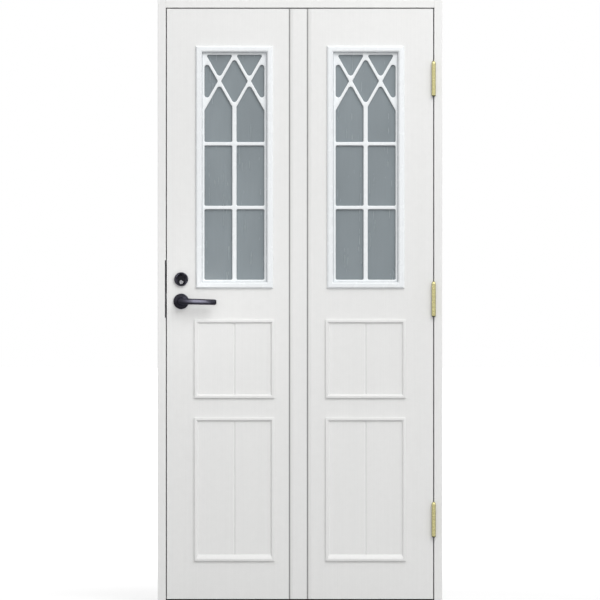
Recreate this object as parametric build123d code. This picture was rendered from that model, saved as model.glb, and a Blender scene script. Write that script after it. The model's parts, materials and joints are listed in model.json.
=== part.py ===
from build123d import *
import math
import os

os.makedirs("parts", exist_ok=True)

# Outward-opening front door in its frame. Millimetres.
# X runs right as seen from outside, Y runs from outside to inside, Z runs up.
# The origin is the middle of the threshold's underside, half way through the depth.

# Frame
FRAME_WIDTH = 990.0
FRAME_HEIGHT = 2100.0
FRAME_DEPTH = 115.0
JAMB_FACE = 28.0
STOP_STEP = 14.0
SEAL_GAP = 4.0
ARRIS = 1.5
FIXING_HOLE = 14.0
FIXING_FROM_INSIDE = 24.0
FIXING_FROM_END = 150.0
FIXING_SPACING_INNER = 600.0

# Threshold
THRESHOLD_HEIGHT = 10.0
THRESHOLD_FALL = 2.0
THRESHOLD_STOP = 15.0
COVER_THICKNESS = 2.0
COVER_MARGIN = 6.0
COVER_RIB = 0.8
COVER_RIB_PITCH = 7.0

# Seal
SEAL_INSET = 5.0
SEAL_BULB = 6.0
SEAL_BEVEL = 1.5
SEAL_TONGUE = 3.0
SEAL_TONGUE_DEPTH = 6.5

# Leaf
LEAF_THICKNESS = 62.0
LEAF_GAP = 3.5
LEAF_SILL_GAP = 4.0
SKIN = 8.0
STILE_WIDTH = 100.0
RAIL_HEIGHT = 100.0

# Board grooves down the middle of the leaf
BOARD_GROOVE_CENTRE = 31.3
BOARD_GROOVE_WIDTH = 15.0
BOARD_SLOT_WIDTH = 3.6
BOARD_SLOT_DEPTH = 4.5
BOARD_BEVEL_DEPTH = 2.6

# Raised mouldings round the panels
PANEL_OVERHANG = 4.5
PANEL_BELOW_WINDOW = 109.0
UPPER_PANEL_HEIGHT = 272.5
PANEL_SPACING = 68.5
LOWER_PANEL_RISE = 132.5
MOULDING_WIDTH = 13.0
MOULDING_HEIGHT = 7.0
MOULDING_CROWN = 7.8
MOULDING_ROUND = 2.0
MOULDING_TOE = 1.0
LOWER_SILL_WIDTH = 22.0
FIELD_GROOVE_WIDTH = 9.0
FIELD_GROOVE_DEPTH = 2.0

# Windows
WINDOW_FROM_STILE = 0.5
WINDOW_FROM_MIDDLE = 94.0
WINDOW_FROM_TOP = 129.5
WINDOW_HEIGHT = 844.0
WINDOW_LAP = 14.0
BEAD_WIDTH = 22.0
BEAD_HEIGHT = 10.0
BEAD_CROWN = 5.0
BEAD_FALL = 6.0
BEAD_SLOPE = 5.0
PANE_SETBACK = 17.0
PANE = 4.0
PANE_SPACE = 16.0
SPACER_WIDTH = 6.0
SPACER_INSET = 3.0
PANE_MARGIN = 2.5

# Lattice
LATTICE_BORDER = 8.0
LATTICE_THICKNESS = 9.0
LATTICE_CHAMFER = 2.5
LATTICE_CORNER = 5.0
MUNTIN_WIDTH = 15.0
CROSSBAR_WIDTH = 12.0
DIAGONAL_WIDTH = 10.0
ARCH_HEIGHT = 184.0
FIRST_BAR_DROP = 310.0
SECOND_BAR_DROP = 532.0

# Hinges
HINGE_FROM_TOP = 244.0
HINGE_FROM_BOTTOM = 276.0
HINGE_LENGTH = 123.0
HINGE_BARREL = 14.5
HINGE_NOSE = 9.0
HINGE_NOSE_TIP = 7.0
HINGE_CAP = 4.5
HINGE_COLLAR = 19.0
HINGE_GROOVE = 0.8
HINGE_STANDOFF = 8.75
HINGE_PLATE = 2.5
HINGE_PLATE_WIDTH = 35.0
HINGE_PIN = 7.0
HINGE_SPLIT = 0.3
HINGE_PIN_SEAT = 4.0
HINGE_SCREW_PITCH = 44.0
HINGE_SCREW_STAGGER = 10.0

# Wood screws
SCREW_SHANK = 4.5
SCREW_HEAD = 8.5
SCREW_HEAD_DEPTH = 1.6
SCREW_LENGTH = 22.0

# Lock
BACKSET = 50.0
SPINDLE_HEIGHT = 1050.0
CYLINDER_RISE = 67.0
CASE_THICKNESS = 16.0
CASE_WALL = 1.5
CASE_DEPTH = 72.5
CASE_BELOW_SPINDLE = 22.0
CASE_ABOVE_CYLINDER = 36.0
FOREND_THICKNESS = 3.0
FOREND_WIDTH = 22.0
FOREND_LENGTH = 235.0
FOREND_RISE = 43.0
FOREND_SCREW_INSET = 10.0
LATCH_RISE = 17.0
LATCH_HEIGHT = 20.0
LATCH_TRAVEL = 11.5
LATCH_REST = 0.5
LATCH_LENGTH = 24.0
DEADBOLT_RISE = 12.0
DEADBOLT_HEIGHT = 30.0
DEADBOLT_LENGTH = 34.0
DEADBOLT_THROW = 20.0
LATCH_SHOULDER = 1.0
BOLT_PLAY = 0.1
BOLT_TAIL = 3.0
WORKS_GAP = 2.0

# Strike plate
STRIKE_THICKNESS = 3.3
STRIKE_WIDTH = 45.0
STRIKE_BELOW_SPINDLE = 57.0
STRIKE_LENGTH = 200.0
STRIKE_SCREW_INSET = 12.0
POCKET_PLAY = 1.0
POCKET_END = 4.0

# Lever handles
ROSE = 54.0
ROSE_THICKNESS = 9.0
ROSE_BEVEL = 2.0
LEVER_NECK = 22.0
LEVER_HUB = 25.0
LEVER_REACH = 123.0
LEVER_DROP = 3.0
LEVER_TIP_HEIGHT = 19.0
LEVER_CORNER = 6.0
LEVER_GRIP = 10.0
LEVER_STANDOFF = 38.0
LEVER_ROUND = 3.5
LEVER_LIFT = 0.3
SPINDLE = 8.0
SPINDLE_ENGAGEMENT = 12.0
FOLLOWER_HUB = 17.0
FOLLOWER_ARM_TIP = 6.0
FOLLOWER_CLEARANCE = 0.4

# Cylinder and thumbturn
CYLINDER_RING = 48.0
CYLINDER_RING_THICKNESS = 10.0
CYLINDER_RING_RISE = 10.0
CYLINDER_WIDTH = 22.0
CYLINDER_OVAL_RISE = 12.0
CYLINDER_RECESS = 4.0
RING_FLARE = 4.7
PLUG = 14.0
PLUG_PROUD = 0.8
KEYWAY_WIDTH = 2.0
KEYWAY_HEIGHT = 9.0
KEYWAY_DEPTH = 20.0
TURN_SHAFT = 6.0
TURN_STEM = 16.0
TURN_WING_LENGTH = 34.0
TURN_WING_WIDTH = 13.0
TURN_WING_HEIGHT = 22.0
CAM_HUB = 14.0
CAM_REACH = 14.0
CAM_REST_ANGLE = 45.0
CAM_LUG_RISE = 10.5
CAM_TIP = 6.0
CAM_ARM = 4.4
CAM_PLAY = 0.7

# Fits
RUNNING_FIT = 0.06
SEAT_FIT = 0.3

# Places that follow from the sizes
FRAME_OUT = -FRAME_DEPTH / 2
FRAME_IN = FRAME_DEPTH / 2
SIDE_X = FRAME_WIDTH / 2
REBATE_X = SIDE_X - JAMB_FACE
STOP_X = REBATE_X - STOP_STEP
REBATE_TOP = FRAME_HEIGHT - JAMB_FACE
STOP_TOP = REBATE_TOP - STOP_STEP
STOP_BOTTOM = THRESHOLD_HEIGHT + THRESHOLD_STOP
LEAF_OUT = FRAME_OUT
LEAF_IN = LEAF_OUT + LEAF_THICKNESS
LEAF_MID = LEAF_OUT + LEAF_THICKNESS / 2
STOP_FACE = LEAF_IN + SEAL_GAP
LEAF_X = REBATE_X - LEAF_GAP
LEAF_TOP = REBATE_TOP - LEAF_GAP
LEAF_BOTTOM = THRESHOLD_HEIGHT + LEAF_SILL_GAP
CORE_OUT = LEAF_OUT + SKIN
CORE_IN = LEAF_IN - SKIN
SPINDLE_X = BACKSET - LEAF_X
FIXING_MIDDLE = FRAME_HEIGHT / 2
FIXING_SPACING_OUTER = FRAME_HEIGHT - 2 * FIXING_FROM_END
WINDOW_EDGE = LEAF_X - STILE_WIDTH - WINDOW_FROM_STILE
WINDOW_WIDTH = WINDOW_EDGE - WINDOW_FROM_MIDDLE
FIELD_CENTRE = WINDOW_EDGE - WINDOW_WIDTH / 2
WINDOW_BOTTOM = LEAF_TOP - WINDOW_FROM_TOP - WINDOW_HEIGHT
WINDOW_MIDDLE = WINDOW_BOTTOM + WINDOW_HEIGHT / 2
PANEL_WIDTH = WINDOW_WIDTH + 2 * PANEL_OVERHANG
UPPER_PANEL_BOTTOM = WINDOW_BOTTOM - PANEL_BELOW_WINDOW - UPPER_PANEL_HEIGHT
LOWER_PANEL_BOTTOM = LEAF_BOTTOM + LOWER_PANEL_RISE
LOWER_PANEL_HEIGHT = UPPER_PANEL_BOTTOM - PANEL_SPACING - LOWER_PANEL_BOTTOM
UPPER_PANEL_MIDDLE = UPPER_PANEL_BOTTOM + UPPER_PANEL_HEIGHT / 2
LOWER_PANEL_MIDDLE = LOWER_PANEL_BOTTOM + LOWER_PANEL_HEIGHT / 2
CUTOUT_WIDTH = WINDOW_WIDTH - 2 * WINDOW_LAP
CUTOUT_HEIGHT = WINDOW_HEIGHT - 2 * WINDOW_LAP
SIGHT_WIDTH = WINDOW_WIDTH - 2 * BEAD_WIDTH
SIGHT_HEIGHT = WINDOW_HEIGHT - 2 * BEAD_WIDTH
PANE_WIDTH = CUTOUT_WIDTH - 2 * PANE_MARGIN
PANE_HEIGHT = CUTOUT_HEIGHT - 2 * PANE_MARGIN
PANE_OUT = LEAF_OUT + PANE_SETBACK
UNIT_IN = PANE_OUT + 2 * PANE + PANE_SPACE
HINGE_X = (LEAF_X + REBATE_X) / 2
HINGE_Y = FRAME_OUT - HINGE_STANDOFF
HINGE_TOP = LEAF_TOP - HINGE_FROM_TOP
HINGE_BOTTOM = LEAF_BOTTOM + HINGE_FROM_BOTTOM
HINGE_HEIGHTS = {"top": HINGE_TOP, "middle": (HINGE_TOP + HINGE_BOTTOM) / 2, "bottom": HINGE_BOTTOM}
CYLINDER_HEIGHT = SPINDLE_HEIGHT + CYLINDER_RISE
CASE_BOTTOM = SPINDLE_HEIGHT - CASE_BELOW_SPINDLE
CASE_TOP = CYLINDER_HEIGHT + CASE_ABOVE_CYLINDER
FOREND_MIDDLE = SPINDLE_HEIGHT + FOREND_RISE
STRIKE_BOTTOM = SPINDLE_HEIGHT - STRIKE_BELOW_SPINDLE
CASE_OUT = LEAF_MID - CASE_THICKNESS / 2
CASE_IN = LEAF_MID + CASE_THICKNESS / 2
CAVITY_OUT = CASE_OUT + CASE_WALL
CAVITY_IN = CASE_IN - CASE_WALL
BOLT_OUT = CAVITY_OUT + BOLT_PLAY
BOLT_IN = CAVITY_IN - BOLT_PLAY
TAIL_IN = BOLT_IN - BOLT_TAIL
TAIL_OUT = TAIL_IN - BOLT_TAIL
ARM_OUT = BOLT_OUT + SEAT_FIT
ARM_IN = TAIL_OUT - SEAT_FIT
LATCH_Z = SPINDLE_HEIGHT + LATCH_RISE
LATCH_REACH = LATCH_TRAVEL + LATCH_REST
DEADBOLT_Z = CYLINDER_HEIGHT + DEADBOLT_RISE
RING_Z = CYLINDER_HEIGHT + CYLINDER_RING_RISE
SIDES = {"left": -1, "right": 1}


# Shapes made from a drawing and a depth


def flat(sketch, y_from, y_to):
    """A sketch of X and Z, made solid between two depths."""
    plane = Plane(origin=(0, y_from, 0), x_dir=(1, 0, 0), z_dir=(0, -1, 0))
    return extrude(plane * sketch, amount=y_to - y_from, dir=(0, 1, 0))


def upright(points, z_from, z_to):
    """A plan outline of X and Y, made solid between two heights."""
    outline = Pos(0, 0, z_from) * Polygon(*points, align=None)
    return extrude(outline, amount=z_to - z_from, dir=(0, 0, 1))


def lengthways(points, x_from, x_to):
    """A section of Y and Z, made solid along X."""
    plane = Plane(origin=(x_from, 0, 0), x_dir=(0, 1, 0), z_dir=(1, 0, 0))
    section = plane * Polygon(*points, align=None)
    return extrude(section, amount=x_to - x_from, dir=(1, 0, 0))


def block(x_from, x_to, y_from, y_to, z_from, z_to):
    """A box between two corners."""
    middle = Pos((x_from + x_to) / 2, (y_from + y_to) / 2, (z_from + z_to) / 2)
    return middle * Box(x_to - x_from, y_to - y_from, z_to - z_from)


def rod_y(radius, x, z, y_from, y_to):
    """A round bar across the leaf."""
    return flat(Pos(x, z) * Circle(radius), y_from, y_to)


def rod_x(radius, y, z, x_from, x_to):
    """A round bar along X."""
    plane = Plane(origin=(x_from, y, z), x_dir=(0, 1, 0), z_dir=(1, 0, 0))
    return extrude(plane * Circle(radius), amount=x_to - x_from, dir=(1, 0, 0))


def rod_z(radius, x, y, z_from, z_to):
    """An upright round bar."""
    return extrude(Pos(x, y, z_from) * Circle(radius), amount=z_to - z_from, dir=(0, 0, 1))


def bordered(width, height, border):
    """A rectangular border, drawn inside its outer size."""
    return Rectangle(width, height) - Rectangle(width - 2 * border, height - 2 * border)


def outside_face(piece, x, z):
    """Places a piece drawn with its foot at zero on the leaf's outer face."""
    return Plane(origin=(x, LEAF_OUT, z), x_dir=(1, 0, 0), z_dir=(0, -1, 0)) * piece


def inside_face(piece, x, z):
    """Places a piece drawn with its foot at zero on the leaf's inner face."""
    return mirror(Plane(origin=(x, -LEAF_IN, z), x_dir=(1, 0, 0), z_dir=(0, -1, 0)) * piece, Plane.XZ)


def rounded_corners(sketch, radius, *points):
    """Rounds the corners of a sketch that lie at the given points."""
    wanted = [Vector(*point) for point in points]
    corners = [v for v in sketch.vertices() if any((Vector(*v) - w).length < 0.01 for w in wanted)]
    return fillet(corners, radius=radius)


def wood_screw():
    """A screw with a flat sunk head, its head's face at zero and its shank along +Z."""
    return counterbore(SCREW_HEAD_DEPTH) + extrude(Circle(SCREW_SHANK / 2), amount=SCREW_LENGTH, dir=(0, 0, 1))


def counterbore(depth):
    """The hole in a plate for a wood screw, from its face at zero along +Z."""
    head = extrude(Circle(SCREW_HEAD / 2), amount=SCREW_HEAD_DEPTH, dir=(0, 0, 1))
    return head + extrude(Circle(SCREW_SHANK / 2), amount=depth, dir=(0, 0, 1))


# Frame


def between_jambs(z_from, z_to):
    """The plan outline between the two jambs, narrower at the stop."""
    points = [
        (-REBATE_X, FRAME_OUT),
        (REBATE_X, FRAME_OUT),
        (REBATE_X, STOP_FACE),
        (STOP_X, STOP_FACE),
        (STOP_X, FRAME_IN),
        (-STOP_X, FRAME_IN),
        (-STOP_X, STOP_FACE),
        (-REBATE_X, STOP_FACE),
    ]
    return upright(points, z_from, z_to)


def seal_ring(band, y_from, y_to):
    """A rectangular ring that follows the leaf's edge at the stop."""
    width = 2 * (LEAF_X - SEAL_INSET) + band
    height = LEAF_TOP - LEAF_BOTTOM - 2 * SEAL_INSET + band
    middle = (LEAF_TOP + LEAF_BOTTOM) / 2
    return flat(Pos(0, middle) * bordered(width, height, band), y_from, y_to)


def seal_kerf():
    """The groove in the stop that holds the seal's tongue."""
    return seal_ring(SEAL_TONGUE, STOP_FACE, STOP_FACE + SEAL_TONGUE_DEPTH)


def fixing_holes(side):
    """Through holes for the screws that fix the frame to the wall."""
    holes = []
    for spacing in (FIXING_SPACING_OUTER, FIXING_SPACING_INNER):
        for end in (-1, 1):
            z = FIXING_MIDDLE + end * spacing / 2
            y = FRAME_IN - FIXING_FROM_INSIDE
            x_from = STOP_X if side > 0 else -SIDE_X
            holes.append(rod_x(FIXING_HOLE / 2, y, z, x_from, x_from + SIDE_X - STOP_X))
    return holes


def jamb(side):
    """One upright of the frame, with the rebate and the stop in one section."""
    points = [
        (side * REBATE_X, FRAME_OUT),
        (side * SIDE_X, FRAME_OUT),
        (side * SIDE_X, FRAME_IN),
        (side * STOP_X, FRAME_IN),
        (side * STOP_X, STOP_FACE),
        (side * REBATE_X, STOP_FACE),
    ]
    section = rounded_corners(Polygon(*points, align=None), ARRIS, points[0], points[1], points[3])
    upright_piece = extrude(section, amount=FRAME_HEIGHT, dir=(0, 0, 1))
    return upright_piece - seal_kerf() - fixing_holes(side)


def frame_jamb_lock():
    """The left jamb, cut out for the strike plate, the latch and the deadbolt."""
    return jamb(-1) - strike_blank() - latch_pocket() - deadbolt_pocket()


def frame_jamb_hinge():
    """The right jamb, with a shallow mortise for each hinge plate."""
    piece = jamb(1)
    for height in HINGE_HEIGHTS.values():
        piece -= hinge_plate(1, height)
    return piece


def frame_head():
    """The top of the frame, housed between the jambs."""
    points = [
        (FRAME_OUT, REBATE_TOP),
        (FRAME_OUT, FRAME_HEIGHT),
        (FRAME_IN, FRAME_HEIGHT),
        (FRAME_IN, STOP_TOP),
        (STOP_FACE, STOP_TOP),
        (STOP_FACE, REBATE_TOP),
    ]
    section = lengthways(points, -REBATE_X, REBATE_X)
    front = section.edges().filter_by(Axis.X).group_by(Axis.Y)[0]
    section = fillet(front, radius=ARRIS)
    return (section & between_jambs(STOP_TOP, FRAME_HEIGHT)) - seal_kerf()


def threshold():
    """The oak sill, low in front of the leaf and high behind it as a stop."""
    points = [
        (FRAME_OUT, 0),
        (FRAME_IN, 0),
        (FRAME_IN, STOP_BOTTOM),
        (STOP_FACE, STOP_BOTTOM),
        (STOP_FACE, THRESHOLD_HEIGHT),
        (FRAME_OUT, THRESHOLD_HEIGHT - THRESHOLD_FALL),
    ]
    piece = lengthways(points, -REBATE_X, REBATE_X) & between_jambs(0, STOP_BOTTOM)
    return piece - seal_kerf() - cover_blank()


def cover_blank():
    """The metal strip let into the top of the sill's stop."""
    y_from = STOP_FACE + SEAL_TONGUE_DEPTH + COVER_MARGIN
    y_to = FRAME_IN - COVER_MARGIN
    return block(-STOP_X, STOP_X, y_from, y_to, STOP_BOTTOM - COVER_THICKNESS, STOP_BOTTOM)


def threshold_cover():
    """The wearing strip, with grooves along it against slipping."""
    strip = cover_blank()
    box = strip.bounding_box()
    count = int((box.size.Y - COVER_RIB_PITCH) / COVER_RIB_PITCH)
    for index in range(count):
        y = box.min.Y + COVER_RIB_PITCH * (index + 1)
        points = [
            (y - COVER_RIB, STOP_BOTTOM),
            (y, STOP_BOTTOM - COVER_RIB),
            (y + COVER_RIB, STOP_BOTTOM),
        ]
        strip -= lengthways(points, -STOP_X, STOP_X)
    return strip


def frame_seal():
    """The rubber seal round the stop: a tongue in the kerf and a soft bulb."""
    bulb = seal_ring(SEAL_BULB, LEAF_IN + SEAT_FIT, STOP_FACE)
    front = bulb.faces().sort_by(Axis.Y)[0]
    bulb = chamfer(front.edges(), length=SEAL_BEVEL)
    return bulb + seal_kerf()


# Hinges


def hinge_plate(side, height):
    """The flat plate of one hinge half: side 1 in the jamb, side -1 in the leaf."""
    face = REBATE_X if side > 0 else LEAF_X
    back = face + side * HINGE_PLATE
    z_from = height - HINGE_LENGTH / 2
    y_to = FRAME_OUT + HINGE_PLATE_WIDTH
    return block(min(face, back), max(face, back), FRAME_OUT, y_to, z_from, z_from + HINGE_LENGTH)


def hinge_screw_places(height):
    """Where the three screws of a plate go, staggered in depth."""
    middle = FRAME_OUT + HINGE_PLATE_WIDTH / 2
    places = []
    for index in (-1, 0, 1):
        y = middle + (HINGE_SCREW_STAGGER if index == 0 else -HINGE_SCREW_STAGGER) / 2
        places.append((y, height + index * HINGE_SCREW_PITCH))
    return places


def against_plate(piece, side, y, z):
    """Turns a screw or its hole to go through a hinge plate from the gap."""
    face = REBATE_X if side > 0 else LEAF_X
    return Plane(origin=(face, y, z), x_dir=(0, 1, 0), z_dir=(side, 0, 0)) * piece


def hinge_barrel(side, height):
    """Half of a barrel: a rounded cap below on the jamb, a collar and a bullet nose above on the leaf."""
    radius = HINGE_BARREL / 2
    split = HINGE_SPLIT / 2
    end = HINGE_LENGTH / 2
    if side > 0:
        barrel = extrude(Pos(0, 0, -end) * Circle(radius), amount=end - split, dir=(0, 0, 1))
        barrel = fillet(barrel.edges().group_by(Axis.Z)[0], radius=HINGE_CAP)
    else:
        shoulder = end - HINGE_NOSE
        side_line = Polyline((0, split), (radius, split), (radius, shoulder))
        nose = TangentArc((radius, shoulder), (HINGE_NOSE_TIP / 2, end), tangent=(0, 1))
        top_line = Polyline((HINGE_NOSE_TIP / 2, end), (0, end), (0, split))
        barrel = revolve(Plane.XZ * make_face([side_line, nose, top_line]), axis=Axis.Z)
        groove = Circle(radius) - Circle(radius - HINGE_GROOVE / 2)
        barrel -= extrude(Pos(0, 0, split + HINGE_COLLAR) * groove, amount=HINGE_GROOVE, dir=(0, 0, 1))
    return Pos(HINGE_X, HINGE_Y, height) * barrel


def hinge_half(side, height):
    """A plate and the half of the barrel that it carries: low on the jamb, high on the leaf."""
    half = (HINGE_LENGTH - HINGE_SPLIT) / 2
    z_from = height - HINGE_LENGTH / 2 if side > 0 else height + HINGE_SPLIT / 2
    barrel = hinge_barrel(side, height)
    face = REBATE_X if side > 0 else LEAF_X
    back = face + side * HINGE_PLATE
    web_from = z_from + HINGE_CAP if side > 0 else z_from
    web_to = z_from + half - (0 if side > 0 else HINGE_NOSE)
    web = block(min(face, back), max(face, back), HINGE_Y, FRAME_OUT, web_from, web_to)
    piece = barrel + web + hinge_plate(side, height)
    bore = HINGE_PIN / 2 + (0 if side > 0 else RUNNING_FIT)
    pin_from, pin_to = hinge_pin_span(height)
    piece -= rod_z(bore, HINGE_X, HINGE_Y, pin_from, pin_to + (0 if side > 0 else SEAT_FIT))
    for y, z in hinge_screw_places(height):
        piece -= against_plate(counterbore(HINGE_PLATE), side, y, z)
    return piece


def hinge_pin_span(height):
    """The pin's lower and upper end: pressed low, running high."""
    reach = HINGE_LENGTH / 2 - HINGE_PIN_SEAT
    return height - reach, height + reach


def hinge_pins():
    """The three lift-off pins, one to a hinge."""
    pins = []
    for height in HINGE_HEIGHTS.values():
        z_from, z_to = hinge_pin_span(height)
        pins.append(rod_z(HINGE_PIN / 2, HINGE_X, HINGE_Y, z_from, z_to))
    return Compound(children=pins)


def hinge_screws(side):
    """The screws of all three hinges on one side."""
    screws = []
    for height in HINGE_HEIGHTS.values():
        for y, z in hinge_screw_places(height):
            screws.append(against_plate(wood_screw(), side, y, z))
    return Compound(children=screws)


# Strike plate


def strike_blank():
    """The strike plate's own block, flush in the jamb and showing on its outer face."""
    z_to = STRIKE_BOTTOM + STRIKE_LENGTH
    return block(-REBATE_X - STRIKE_THICKNESS, -REBATE_X, FRAME_OUT, FRAME_OUT + STRIKE_WIDTH, STRIKE_BOTTOM, z_to)


def bolt_pocket(height, middle, depth):
    """A pocket in the jamb for a bolt, with play all round."""
    half = height / 2 + POCKET_PLAY
    y_from = CAVITY_OUT - POCKET_PLAY
    y_to = CAVITY_IN + POCKET_PLAY
    return block(-REBATE_X - depth, -REBATE_X, y_from, y_to, middle - half, middle + half)


def latch_pocket():
    """Where the latch rests when the door is shut."""
    return bolt_pocket(LATCH_HEIGHT, LATCH_Z, LATCH_REACH - LEAF_GAP + POCKET_END)


def deadbolt_pocket():
    """Where the deadbolt goes when it is thrown."""
    return bolt_pocket(DEADBOLT_HEIGHT, DEADBOLT_Z, DEADBOLT_THROW - LEAF_GAP + POCKET_END)


def strike_screw_heights():
    """Heights of the strike plate's screws: near its ends and between its holes."""
    between = (LATCH_Z + LATCH_HEIGHT / 2 + DEADBOLT_Z - DEADBOLT_HEIGHT / 2) / 2
    return (STRIKE_BOTTOM + STRIKE_SCREW_INSET, between, STRIKE_BOTTOM + STRIKE_LENGTH - STRIKE_SCREW_INSET)


def against_strike(piece, z):
    """Turns a screw or its hole to go through the strike plate."""
    return Plane(origin=(-REBATE_X, LEAF_MID, z), x_dir=(0, 1, 0), z_dir=(-1, 0, 0)) * piece


def strike_plate():
    """The plate that catches the latch and the deadbolt."""
    piece = strike_blank() - latch_pocket() - deadbolt_pocket()
    for z in strike_screw_heights():
        piece -= against_strike(counterbore(STRIKE_THICKNESS), z)
    return piece


def strike_screws():
    """The strike plate's screws."""
    return Compound(children=[against_strike(wood_screw(), z) for z in strike_screw_heights()])


# Leaf


def window_cutouts(y_from, y_to):
    """The two openings for the windows."""
    outline = Rectangle(CUTOUT_WIDTH, CUTOUT_HEIGHT)
    return [flat(Pos(side * FIELD_CENTRE, WINDOW_MIDDLE) * outline, y_from, y_to) for side in SIDES.values()]


def skin_sheet():
    """The weather side of the leaf as a flat sheet, cut for the windows and grooved."""
    sheet = flat(Rectangle(2 * LEAF_X, LEAF_TOP - LEAF_BOTTOM), LEAF_OUT, CORE_OUT)
    sheet = Pos(0, 0, (LEAF_TOP + LEAF_BOTTOM) / 2) * sheet
    sheet -= window_cutouts(LEAF_OUT, CORE_OUT)
    for centre in (-BOARD_GROOVE_CENTRE, BOARD_GROOVE_CENTRE):
        sheet -= board_groove(centre)
    for side in SIDES.values():
        sheet -= field_groove(side, UPPER_PANEL_MIDDLE, UPPER_PANEL_HEIGHT)
        sheet -= field_groove(side, LOWER_PANEL_MIDDLE, LOWER_PANEL_HEIGHT)
    return sheet


def board_groove(centre):
    """A groove like a board joint: a narrow slot, then a bevel rising to the right."""
    left = centre - BOARD_GROOVE_WIDTH / 2
    points = [
        (left, LEAF_OUT),
        (left, LEAF_OUT + BOARD_SLOT_DEPTH),
        (left + BOARD_SLOT_WIDTH, LEAF_OUT + BOARD_SLOT_DEPTH),
        (left + BOARD_SLOT_WIDTH, LEAF_OUT + BOARD_BEVEL_DEPTH),
        (left + BOARD_GROOVE_WIDTH, LEAF_OUT),
    ]
    return upright(points, LEAF_BOTTOM, LEAF_TOP)


def field_groove(side, middle, height):
    """The shallow V down the middle of a panel, ending under its moulding."""
    centre = side * FIELD_CENTRE
    points = [
        (centre - FIELD_GROOVE_WIDTH / 2, LEAF_OUT),
        (centre, LEAF_OUT + FIELD_GROOVE_DEPTH),
        (centre + FIELD_GROOVE_WIDTH / 2, LEAF_OUT),
    ]
    half = height / 2 - MOULDING_WIDTH / 2
    return upright(points, middle - half, middle + half)


def leaf_mirror(piece):
    """Turns a piece of the outer side into its twin on the inner side."""
    return mirror(piece, Plane.XZ.offset(-LEAF_MID))


def outer_skin():
    """The weather side, cut for the hinges, the spindle and the cylinder."""
    sheet = skin_sheet() - spindle_hole(LEAF_OUT, CORE_OUT) - cylinder_hole(LEAF_OUT, CORE_OUT)
    for height in HINGE_HEIGHTS.values():
        sheet -= hinge_plate(-1, height)
    return sheet


def inner_skin():
    """The room side, cut for the spindle and the thumbturn."""
    return leaf_mirror(skin_sheet()) - spindle_hole(CORE_IN, LEAF_IN) - turn_hole(CORE_IN, LEAF_IN)


def spindle_hole(y_from, y_to):
    """Clearance for the spindle and the lever necks' inner ends."""
    return rod_y(LEVER_NECK / 2 + POCKET_PLAY, SPINDLE_X, SPINDLE_HEIGHT, y_from, y_to)


def cylinder_hole(y_from, y_to):
    """The oval hole for the cylinder."""
    return flat(cylinder_outline(CYLINDER_WIDTH / 2 + SEAT_FIT), y_from, y_to)


def turn_hole(y_from, y_to):
    """A round hole for the thumbturn's shaft."""
    return rod_y(TURN_STEM / 2 + SEAT_FIT, SPINDLE_X, CYLINDER_HEIGHT, y_from, y_to)


def stile_lock():
    """The left edge of the leaf's frame, mortised for the lock case."""
    piece = block(-LEAF_X, STILE_WIDTH - LEAF_X, CORE_OUT, CORE_IN, LEAF_BOTTOM, LEAF_TOP)
    piece -= case_block()
    piece -= forend_block()
    piece -= spindle_hole(CORE_OUT, CORE_IN)
    piece -= cylinder_hole(CORE_OUT, CASE_OUT)
    return piece - turn_hole(CASE_IN, CORE_IN)


def stile_hinge():
    """The right edge of the leaf's frame, mortised for the hinge plates."""
    piece = block(LEAF_X - STILE_WIDTH, LEAF_X, CORE_OUT, CORE_IN, LEAF_BOTTOM, LEAF_TOP)
    for height in HINGE_HEIGHTS.values():
        piece -= hinge_plate(-1, height)
    return piece


def rail_top():
    """The top of the leaf's frame."""
    reach = LEAF_X - STILE_WIDTH
    return block(-reach, reach, CORE_OUT, CORE_IN, LEAF_TOP - RAIL_HEIGHT, LEAF_TOP)


def rail_bottom():
    """The bottom of the leaf's frame."""
    reach = LEAF_X - STILE_WIDTH
    return block(-reach, reach, CORE_OUT, CORE_IN, LEAF_BOTTOM, LEAF_BOTTOM + RAIL_HEIGHT)


def insulation_core():
    """The foam between the skins, with openings for the windows."""
    reach = LEAF_X - STILE_WIDTH
    piece = block(-reach, reach, CORE_OUT, CORE_IN, LEAF_BOTTOM + RAIL_HEIGHT, LEAF_TOP - RAIL_HEIGHT)
    return piece - window_cutouts(CORE_OUT, CORE_IN)


# Mouldings


def mitred_border(width, height, section):
    """Four lengths of one section, mitred round a rectangle. Section: inward, then outward."""
    box = section.bounding_box()
    members = []
    for turn, length, reach in ((0, width, height / 2), (90, height, width / 2)):
        plane = Plane(origin=(-length / 2, -reach, 0), x_dir=(0, 1, 0), z_dir=(1, 0, 0))
        bar = extrude(plane * section, amount=length, dir=(1, 0, 0))
        corners = [
            (-length / 2, -reach),
            (length / 2, -reach),
            (length / 2 - box.max.X, box.max.X - reach),
            (box.max.X - length / 2, box.max.X - reach),
        ]
        member = bar & upright(corners, box.min.Y, box.max.Y)
        members.append(Rot(0, 0, turn) * member)
        members.append(Rot(0, 0, turn + 180) * member)
    return members[0] + members[1:]


def moulding_section():
    """Upright outer side, rounded crown, hollow slope to the panel."""
    line = Polyline(
        (0, 0),
        (0, MOULDING_HEIGHT - MOULDING_ROUND),
        (MOULDING_ROUND, MOULDING_HEIGHT),
        (MOULDING_CROWN, MOULDING_HEIGHT),
    )
    slope = RadiusArc((MOULDING_CROWN, MOULDING_HEIGHT), (MOULDING_WIDTH, MOULDING_TOE), -MOULDING_WIDTH)
    close = Polyline((MOULDING_WIDTH, MOULDING_TOE), (MOULDING_WIDTH, 0), (0, 0))
    return make_face(line + slope + close)


def upper_moulding():
    """The raised border round an upper panel."""
    return mitred_border(PANEL_WIDTH, UPPER_PANEL_HEIGHT, moulding_section())


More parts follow.
